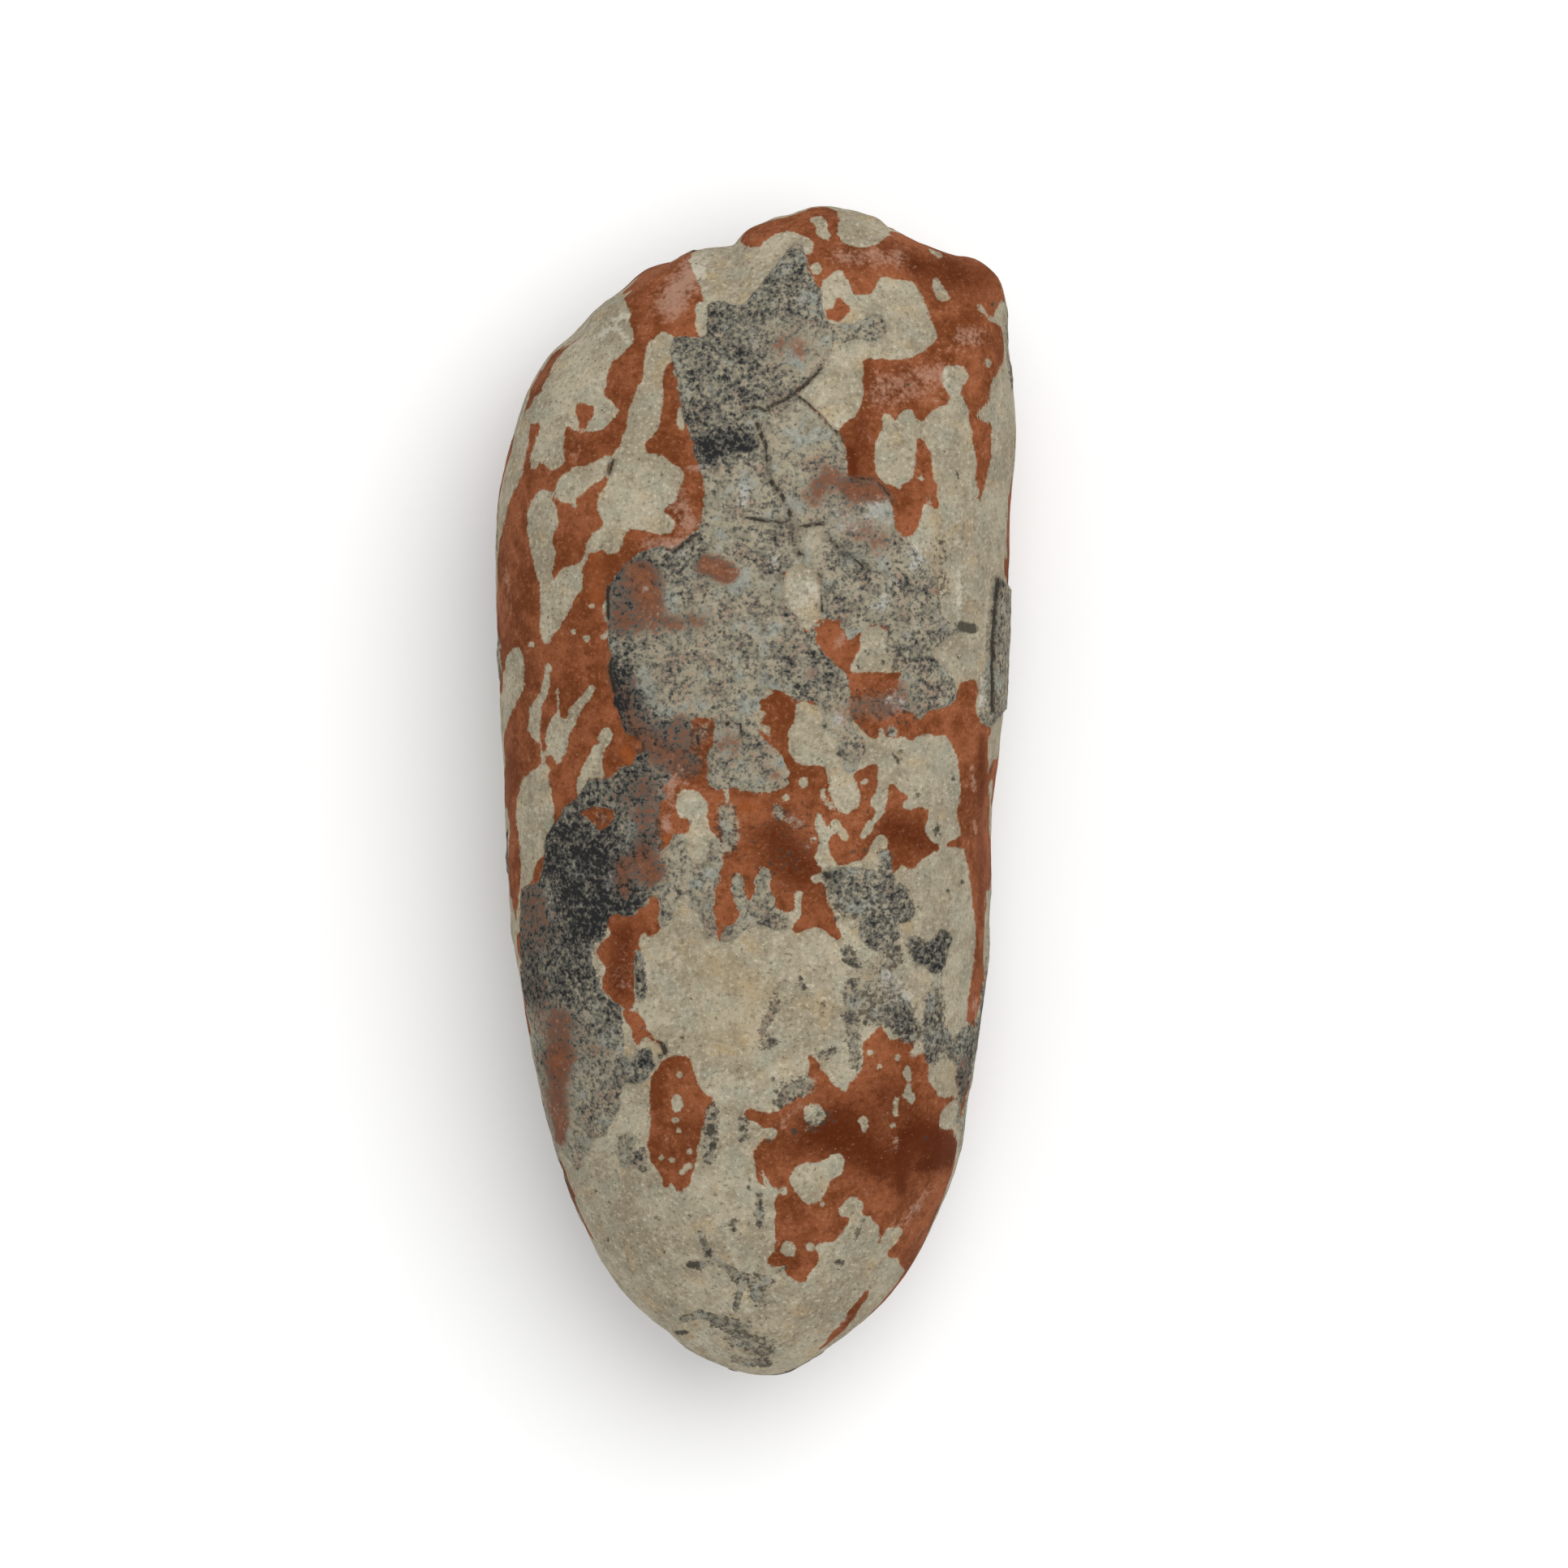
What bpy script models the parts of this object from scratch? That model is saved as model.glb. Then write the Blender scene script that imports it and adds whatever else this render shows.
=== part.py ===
"""A fossil oviraptor egg: one stone-hard egg of red and cream siltstone that still
carries plates of its own shell, lying on a small flat spot worn on its underside.

Frame: +Z up, +Y along the egg towards its broken blunt end, +X to the right when the
egg is seen from above. The origin is under the middle of the egg, on the surface that
the egg lies on.
"""

import math

import bmesh
import bpy
from mathutils import Vector, noise

MM = 0.001

# Driving dimensions, in millimetres.
LENGTH = 175.0
WIDTH = 78.0
GIRTH_HEIGHT = 25.0
HEIGHT = 55.0
FLAT_DEPTH = 0.7
SHELL_THICKNESS = 0.9

# How square the upright sections are: 2 is an ellipse, more is boxier. The broken
# blunt end drops off more steeply than the rest.
CROWN_SQUARENESS = 2.25
BELLY_SQUARENESS = 2.2
BROKEN_END_EXTRA = 0.9

# Grid lines of the starting block across, along and up the egg.
CELLS = (22, 54, 16)

# Where the egg's crown and belly peak, along the egg.
CROWN_Y = 6.0

# The share of the outline's notches and knobs that stays at the crown.
RIM_START = 0.72
SMOOTHING_DEG = 16.0
TABLE_STEPS = 720

# The egg's outline from above, in millimetres, anticlockwise from the right side.
OUTLINE = [
    (36.0, -0.5), (36.5, 9.0), (37.3, 20.0), (37.7, 33.0), (38.1, 44.0), (38.7, 55.5),
    (38.1, 66.0), (37.3, 72.5), (35.9, 77.2), (33.3, 79.6), (30.0, 80.0), (26.0, 82.1),
    (22.1, 84.5), (16.5, 86.5), (10.8, 87.5), (8.0, 86.7), (1.5, 86.1), (-1.0, 85.2),
    (-3.2, 82.7), (-8.5, 81.7), (-13.1, 79.8), (-18.5, 77.3), (-22.1, 74.9),
    (-24.9, 72.0), (-26.8, 69.5), (-31.0, 66.0), (-34.8, 60.4), (-37.4, 52.0),
    (-38.9, 44.5), (-39.3, 30.0), (-38.8, 18.0), (-38.2, 4.0), (-37.9, -9.0),
    (-36.6, -20.0), (-35.4, -30.0), (-33.8, -41.0), (-31.4, -50.0), (-27.6, -62.0),
    (-24.3, -69.0), (-20.2, -75.0), (-15.6, -79.5), (-13.4, -81.0), (-11.3, -83.3),
    (-6.0, -85.9), (1.0, -87.5), (4.6, -87.0), (8.5, -85.0), (14.5, -80.5),
    (20.0, -75.0), (25.5, -67.5), (28.6, -61.0), (30.3, -56.0), (31.2, -47.0),
    (33.3, -33.0), (34.7, -20.0), (35.5, -8.0),
]

# Plates of shell that stand proud of the siltstone, in millimetres from above.
SHELL_PLATES = {
    "crown plate": [
        (6.2, 82.0), (9.6, 76.0), (11.5, 68.0), (9.8, 61.5), (13.0, 54.0), (14.5, 46.5),
        (20.5, 43.5), (22.5, 36.0), (28.0, 32.0), (29.0, 22.0), (27.5, 13.5),
        (16.0, 10.5), (9.0, 15.0), (-2.0, 9.5), (-12.0, 4.0), (-19.5, 9.5),
        (-22.0, 18.0), (-22.0, 30.0), (-17.0, 36.5), (-9.0, 39.0), (-8.0, 52.0),
        (-11.5, 60.0), (-12.0, 68.5), (-7.0, 73.5), (0.0, 74.0),
    ],
    "flank plate": [
        (-19.5, 3.0), (-25.0, 1.5), (-30.0, -7.0), (-31.0, -12.5), (-37.0, -14.5),
        (-38.0, -28.0), (-36.0, -42.0), (-31.0, -55.0), (-26.0, -54.0), (-19.0, -44.0),
        (-18.5, -33.0), (-23.0, -24.0), (-20.5, -10.0), (-17.0, -3.0),
    ],
    "edge flake": [
        (35.7, 31.5), (40.0, 27.0), (40.5, 12.0), (36.0, 9.8), (33.7, 11.5),
        (34.4, 22.0),
    ],
}

# Knobs (a rise above zero) and hollows of the broken blunt end and the flanks, each as
# its place x, y, z, its reach and its rise, in millimetres.
LUMPS = [
    (30.0, 76.0, 33.0, 7.0, 1.6),
    (28.0, 80.0, 22.0, 6.0, -1.8),
    (9.0, 84.0, 34.0, 8.0, 1.5),
    (-4.0, 82.0, 28.0, 5.0, -1.6),
    (-15.0, 74.0, 38.0, 9.0, 1.2),
    (2.0, 78.0, 14.0, 10.0, -2.2),
    (20.0, 78.0, 12.0, 8.0, 1.4),
    (-24.0, 68.0, 16.0, 9.0, 1.6),
    (26.0, -62.0, 36.0, 9.0, -1.3),
    (-30.0, -10.0, 43.0, 10.0, -0.9),
    (33.0, -8.0, 36.0, 12.0, -1.0),
    (-10.0, -50.0, 4.0, 14.0, 1.0),
    (14.0, 36.0, 3.0, 12.0, -0.9),
]

# Weathering: gentle unevenness all over, and a rougher break at the blunt end.
WEATHER_SIZE = 15.0
WEATHER_DEPTH = 0.55
BREAK_START = 60.0
BREAK_SIZE = 7.5
BREAK_DEPTH = 1.1

STONE_COLOUR = (0.30, 0.20, 0.13, 1.0)
STONE_ROUGHNESS = 0.85


def smoothstep(low, high, value):
    share = min(1.0, max(0.0, (value - low) / (high - low)))
    return share * share * (3.0 - 2.0 * share)


def outline_factors():
    """How far the outline lies outside an ellipse of the egg's size, by angle."""
    marks = sorted(
        (
            math.atan2(y / (LENGTH / 2), x / (WIDTH / 2)) % math.tau,
            math.hypot(x / (WIDTH / 2), y / (LENGTH / 2)),
        )
        for x, y in OUTLINE
    )
    first, last = marks[0], marks[-1]
    marks = [(last[0] - math.tau, last[1])] + marks + [(first[0] + math.tau, first[1])]
    factors = []
    k = 0
    for step in range(TABLE_STEPS):
        angle = math.tau * step / TABLE_STEPS
        while marks[k + 1][0] < angle:
            k += 1
        (a0, f0), (a1, f1) = marks[k], marks[k + 1]
        factors.append(f0 + (f1 - f0) * (angle - a0) / (a1 - a0))
    return factors


def blurred(factors, reach_deg):
    """The same table with its notches and knobs evened out."""
    reach = round(reach_deg / 360.0 * TABLE_STEPS)
    weights = [1.0 + math.cos(math.pi * k / (reach + 1)) for k in range(-reach, reach + 1)]
    total = sum(weights)
    return [
        sum(w * factors[(i + k - reach) % TABLE_STEPS] for k, w in enumerate(weights)) / total
        for i in range(TABLE_STEPS)
    ]


def look_up(table, angle):
    place = (angle % math.tau) / math.tau * TABLE_STEPS
    k = int(place) % TABLE_STEPS
    share = place - int(place)
    return table[k] + (table[(k + 1) % TABLE_STEPS] - table[k]) * share


def signed_distance(x, y, outline):
    """Millimetres from the outline, above zero inside it."""
    nearest = 1e9
    inside = False
    for (ax, ay), (bx, by) in zip(outline, outline[1:] + outline[:1]):
        dx, dy = bx - ax, by - ay
        share = ((x - ax) * dx + (y - ay) * dy) / (dx * dx + dy * dy)
        share = min(1.0, max(0.0, share))
        nearest = min(nearest, math.hypot(x - ax - share * dx, y - ay - share * dy))
        if (ay > y) != (by > y) and x < ax + (y - ay) / dy * dx:
            inside = not inside
    return nearest if inside else -nearest


def egg_point(direction, sharp, smooth):
    """The point of the plain egg in that direction, in millimetres."""
    angle = math.atan2(direction.y, direction.x)
    level = math.hypot(direction.x, direction.y)
    if direction.z > 0.0:
        squareness, rise = CROWN_SQUARENESS, HEIGHT - GIRTH_HEIGHT
    else:
        squareness, rise = BELLY_SQUARENESS, GIRTH_HEIGHT + FLAT_DEPTH
    squareness += BROKEN_END_EXTRA * max(0.0, math.sin(angle)) ** 2
    power = 2.0 / squareness
    rim = level**power
    even = look_up(smooth, angle)
    factor = even + (look_up(sharp, angle) - even) * smoothstep(RIM_START, 1.0, level)
    x = WIDTH / 2 * math.cos(angle) * factor * rim
    y = LENGTH / 2 * math.sin(angle) * factor * rim + CROWN_Y * (1.0 - rim)
    z = GIRTH_HEIGHT + math.copysign(abs(direction.z) ** power, direction.z) * rise
    return Vector((x, y, z))


def plate_rise(point):
    """How far the shell lifts the surface there."""
    if point.z < GIRTH_HEIGHT / 2:
        return 0.0
    fade = smoothstep(GIRTH_HEIGHT / 2, GIRTH_HEIGHT, point.z)
    best = max(signed_distance(point.x, point.y, p) for p in SHELL_PLATES.values())
    return SHELL_THICKNESS * fade * smoothstep(-0.8, 0.8, best)


def weather_rise(point):
    """Lumps, hollows and weathering there, outwards."""
    rise = WEATHER_DEPTH * noise.noise(point / WEATHER_SIZE)
    rough = smoothstep(BREAK_START, LENGTH / 2, point.y)
    rise += rough * BREAK_DEPTH * noise.noise(point / BREAK_SIZE + Vector((7.0, 3.0, 1.0)))
    for x, y, z, reach, height in LUMPS:
        away = (point - Vector((x, y, z))).length / reach
        rise += height * math.exp(-away * away)
    return rise


def block(cells):
    """A cube cut into a grid, to be rounded into the egg."""
    bm = bmesh.new()
    bmesh.ops.create_cube(bm, size=2.0)
    for axis, count in enumerate(cells):
        along = [
            e
            for e in bm.edges
            if abs(e.verts[0].co[axis] - e.verts[1].co[axis]) > 1.0
        ]
        bmesh.ops.subdivide_edges(bm, edges=along, cuts=count - 1, use_grid_fill=True)
    return bm


def rounded(corner):
    """A point of the cube, moved onto the unit sphere with even spacing."""
    return Vector(math.tan(c * math.pi / 4) for c in corner).normalized()


def fit_to_size(bm):
    """Centres the weathered egg over the origin and scales it to its measured size."""
    low = Vector(min(v.co[i] for v in bm.verts) for i in range(3))
    high = Vector(max(v.co[i] for v in bm.verts) for i in range(3))
    middle = (low + high) / 2
    bmesh.ops.translate(bm, verts=bm.verts, vec=Vector((-middle.x, -middle.y, 0.0)))
    sides = high - low
    scale = Vector((WIDTH / sides.x, LENGTH / sides.y, HEIGHT / high.z))
    bmesh.ops.scale(bm, vec=scale, verts=bm.verts)


def cut_flat_spot(bm):
    """Cuts the belly off level at the height of the surface that the egg lies on."""
    cut = bmesh.ops.bisect_plane(
        bm,
        geom=bm.verts[:] + bm.edges[:] + bm.faces[:],
        plane_co=(0.0, 0.0, 0.0),
        plane_no=(0.0, 0.0, -1.0),
        clear_outer=True,
    )
    rim = [e for e in cut["geom_cut"] if isinstance(e, bmesh.types.BMEdge)]
    bmesh.ops.contextual_create(bm, geom=rim)


def stone_material():
    material = bpy.data.materials.new("siltstone and shell")
    material.use_nodes = True
    shader = material.node_tree.nodes["Principled BSDF"]
    shader.inputs["Base Color"].default_value = STONE_COLOUR
    shader.inputs["Roughness"].default_value = STONE_ROUGHNESS
    shader.inputs["Metallic"].default_value = 0.0
    return material


def fossil_egg(collection):
    sharp = outline_factors()
    smooth = blurred(sharp, SMOOTHING_DEG)
    bm = block(CELLS)
    for v in bm.verts:
        v.co = egg_point(rounded(v.co), sharp, smooth)
    bmesh.ops.recalc_face_normals(bm, faces=bm.faces)
    bm.normal_update()
    rises = [plate_rise(v.co) + weather_rise(v.co) for v in bm.verts]
    for v, rise in zip(bm.verts, rises):
        v.co += v.normal * rise
    fit_to_size(bm)
    cut_flat_spot(bm)
    bmesh.ops.remove_doubles(bm, verts=bm.verts, dist=0.05)
    bmesh.ops.triangulate(bm, faces=[f for f in bm.faces if len(f.verts) > 3])
    bmesh.ops.scale(bm, vec=Vector((MM, MM, MM)), verts=bm.verts)
    mesh = bpy.data.meshes.new("fossil_egg")
    bm.to_mesh(mesh)
    bm.free()
    mesh.shade_smooth()
    mesh.materials.append(stone_material())
    egg = bpy.data.objects.new("fossil_egg", mesh)
    collection.objects.link(egg)
    return egg


def main():
    for old in list(bpy.data.objects):
        bpy.data.objects.remove(old)
    collection = bpy.data.collections.new("fossil oviraptor egg")
    bpy.context.scene.collection.children.link(collection)
    fossil_egg(collection)


main()
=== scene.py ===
"""A fossil oviraptor egg lying on a pale surface, seen from straight above.

The egg is one piece of stone. A block is cut into a grid and pulled onto the egg's
measured outline, and its plates of shell are raised from outlines read off the
photograph. More outlines and soft strokes say where its siltstone is cream or
red, and where it is stained, dusty or cracked. Lengths are in millimetres until the mesh
is finished.
"""

import math

import bpy
import numpy as np
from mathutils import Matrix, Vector, noise


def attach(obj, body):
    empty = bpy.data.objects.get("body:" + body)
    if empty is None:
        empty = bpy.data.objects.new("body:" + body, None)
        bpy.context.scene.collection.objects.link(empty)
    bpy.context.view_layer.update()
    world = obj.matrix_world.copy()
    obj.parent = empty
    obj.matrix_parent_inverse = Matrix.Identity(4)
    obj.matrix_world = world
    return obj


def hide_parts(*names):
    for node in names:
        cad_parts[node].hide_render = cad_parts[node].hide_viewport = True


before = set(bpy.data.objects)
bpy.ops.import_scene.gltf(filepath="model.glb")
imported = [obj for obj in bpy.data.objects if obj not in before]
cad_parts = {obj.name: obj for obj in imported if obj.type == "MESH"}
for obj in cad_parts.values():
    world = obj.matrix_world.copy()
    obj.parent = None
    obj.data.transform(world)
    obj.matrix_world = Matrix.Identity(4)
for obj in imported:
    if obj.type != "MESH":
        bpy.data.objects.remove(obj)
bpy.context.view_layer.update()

MM = 0.001

# The egg's measured size and how its sections are shaped, as in the part itself.
LENGTH = 175.0
WIDTH = 78.0
GIRTH_HEIGHT = 25.0
HEIGHT = 55.0
FLAT_DEPTH = 0.7
CROWN_SQUARENESS = 2.25
BELLY_SQUARENESS = 2.2
BROKEN_END_EXTRA = 0.9
CROWN_Y = 6.0
RIM_START = 0.72
CORNER_SMOOTHING_DEG = 1.5
SMOOTHING_DEG = 16.0
TABLE_STEPS = 720

# The block is cut this often across X, Y and Z, the long way in two rounds, and the cuts
# are spread so that the long, flat egg gets an even grid.
GRID_CUTS = ((63,), (9, 15), (39,))
GRID_SPREAD = (1.5, 2.0, 1.0)

# What stands out of the stone: the shell with its cracks, and the grain of stone and
# shell. The edges say how far before and past its outline each rises or drops.
SHELL_THICKNESS = 0.5
HIDDEN_SHELL_THINNING = 0.6
CRACK_DEPTH = 0.3
SHELL_EDGE = (-0.25, 0.25)
CRACK_EDGE = (-0.15, 0.25)
STONE_GRAIN_RISE = 0.05
SHELL_GRAIN_RISE = 0.11
GRAIN_LUMPS = 1.3

# Weathering: the rise everywhere, the extra rise at the broken end, the width of its
# lumps, and the shift that reads the noise at another place.
BROKEN_END_Y = 60.0
WEATHERING = [
    (0.55, 0.0, 15.0, 0.0), (0.0, 1.1, 7.5, (7.0, 3.0, 1.0)), (0.10, 0.25, 3.2, 5.0),
]

# The camera hangs straight above the middle of the picture, which lies this far from
# the egg's own middle. The picture's scale holds at the height of the girth.
CAMERA_X = 4.26
CAMERA_Y = 1.1
CAMERA_DISTANCE = 2000.0
PICTURE_WIDTH = 235.1
SENSOR_WIDTH = 36.0

# The studio, in metres and watts: one soft lamp to the upper right in a white room.
FLOOR_SIZE = 8.0
LAMP_PLACE = (0.34, 0.36, 1.0)
LAMP_TARGET = (0.0, 0.0, 0.02)
LAMP_SIZE = 1.1
LAMP_WATTS = 7.5
ROOM_LIGHT = 0.84
CLIP_END = 20.0

# An edge between two colours is followed this far to both of its sides.
EDGE_REACH = 3.0
# How much the surface faces upwards, from 0 for a wall to 1 for level ground, where the
# photograph's markings have ended and where they are still whole.
FADING_LEAN = (0.08, 0.34)
# The flake at the right rim ends below between these heights, give or take its rags:
# how far they reach and how wide they are.
FLAKE_ENDS = (18.0, 23.0)
RAG_REACH = 3.0
RAG_SIZE = 4.0
# Points are measured against the outlines this many at a time, to spare the memory.
BATCH = 2000
# Where no grains were judged nearby, this share of them is dark, with this weight.
PLAIN_TONE = 0.45
PLAIN_WEIGHT = 0.02

# The egg's outline from above, anticlockwise from the right side.
OUTLINE = [
    (36.0, -0.5), (36.5, 9.0), (37.3, 20.0), (37.7, 33.0), (38.1, 44.0), (38.7, 55.5),
    (38.1, 66.0), (37.3, 72.5), (35.9, 77.2), (33.3, 79.6), (30.0, 80.0), (26.0, 82.1),
    (22.1, 84.5), (16.5, 86.5), (10.8, 87.5), (8.0, 86.7), (1.5, 86.1), (-1.0, 85.2),
    (-3.2, 82.7), (-8.5, 81.7), (-13.1, 79.8), (-18.5, 77.3), (-22.1, 74.9),
    (-24.9, 72.0), (-26.8, 69.5), (-31.0, 66.0), (-34.8, 60.4), (-37.4, 52.0),
    (-38.9, 44.5), (-39.3, 30.0), (-38.8, 18.0), (-38.2, 4.0), (-37.9, -9.0),
    (-36.6, -20.0), (-35.4, -30.0), (-33.8, -41.0), (-31.4, -50.0), (-27.6, -62.0),
    (-24.3, -69.0), (-20.2, -75.0), (-15.6, -79.5), (-13.4, -81.0), (-11.3, -83.3),
    (-6.0, -85.9), (1.0, -87.5), (4.6, -87.0), (8.5, -85.0), (14.5, -80.5),
    (20.0, -75.0), (25.5, -67.5), (28.6, -61.0), (30.3, -56.0), (31.2, -47.0),
    (33.3, -33.0), (34.7, -20.0), (35.5, -8.0),
]

# Knobs (a rise above zero) and hollows: place x, y, z, reach and rise.
LUMPS = [
    (30.0, 76.0, 33.0, 7.0, 1.6), (28.0, 80.0, 22.0, 6.0, -1.8),
    (9.0, 84.0, 34.0, 8.0, 1.5), (-4.0, 82.0, 28.0, 5.0, -1.6),
    (-15.0, 74.0, 38.0, 9.0, 1.2), (2.0, 78.0, 14.0, 10.0, -2.2),
    (20.0, 78.0, 12.0, 8.0, 1.4), (-24.0, 68.0, 16.0, 9.0, 1.6),
    (26.0, -62.0, 36.0, 9.0, -1.3), (-30.0, -10.0, 43.0, 10.0, -0.9),
    (33.0, -8.0, 36.0, 12.0, -1.0), (-10.0, -50.0, 4.0, 14.0, 1.0),
    (14.0, 36.0, 3.0, 12.0, -0.9),
]

# The lozenge of bare cream stone in the crown's shell, the lower half of the cream finger
# left of the middle, and the flake of shell that stands off the right rim, as closed
# outlines from above. All outlines run through points read off the photograph.
LOZENGE = [
    (6, 34.2), (4.8, 33.2), (4.1, 32.2), (3.9, 30.5), (4, 28.8), (4.3, 27.7),
    (5.2, 26.9), (6.2, 26.2), (6.8, 25.2), (7.3, 24.2), (7.8, 23.8), (8.4, 24.2),
    (9, 25), (9.6, 25.6), (9.9, 27), (10, 28.5), (10, 30), (9.9, 31.5), (9.5, 32.8),
    (8.5, 33.7), (7.6, 34.3),
]

FINGER = [
    (-10.2, -6), (-9.6, -5.5), (-8, -6.3), (-7, -7.5), (-6.8, -9), (-7.3, -10.6),
    (-8.6, -11), (-9.8, -10.3), (-10.4, -8.6), (-10.5, -7),
]

FLAKE = [
    (36.1, 32.3), (37, 31.6), (37.9, 30.6), (42, 29), (42, 12.4), (38.1, 12.2),
    (37.2, 11.8), (36.2, 10.7), (35.4, 10), (34.4, 10), (33.8, 10.5), (33.5, 11.4),
    (33.8, 12.5), (34.1, 13.5), (34.2, 15), (34.3, 17), (34.5, 19), (34.7, 21),
    (34.8, 25), (34.9, 27), (35.1, 29), (35.4, 30.7), (35.8, 31.8),
]

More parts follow.
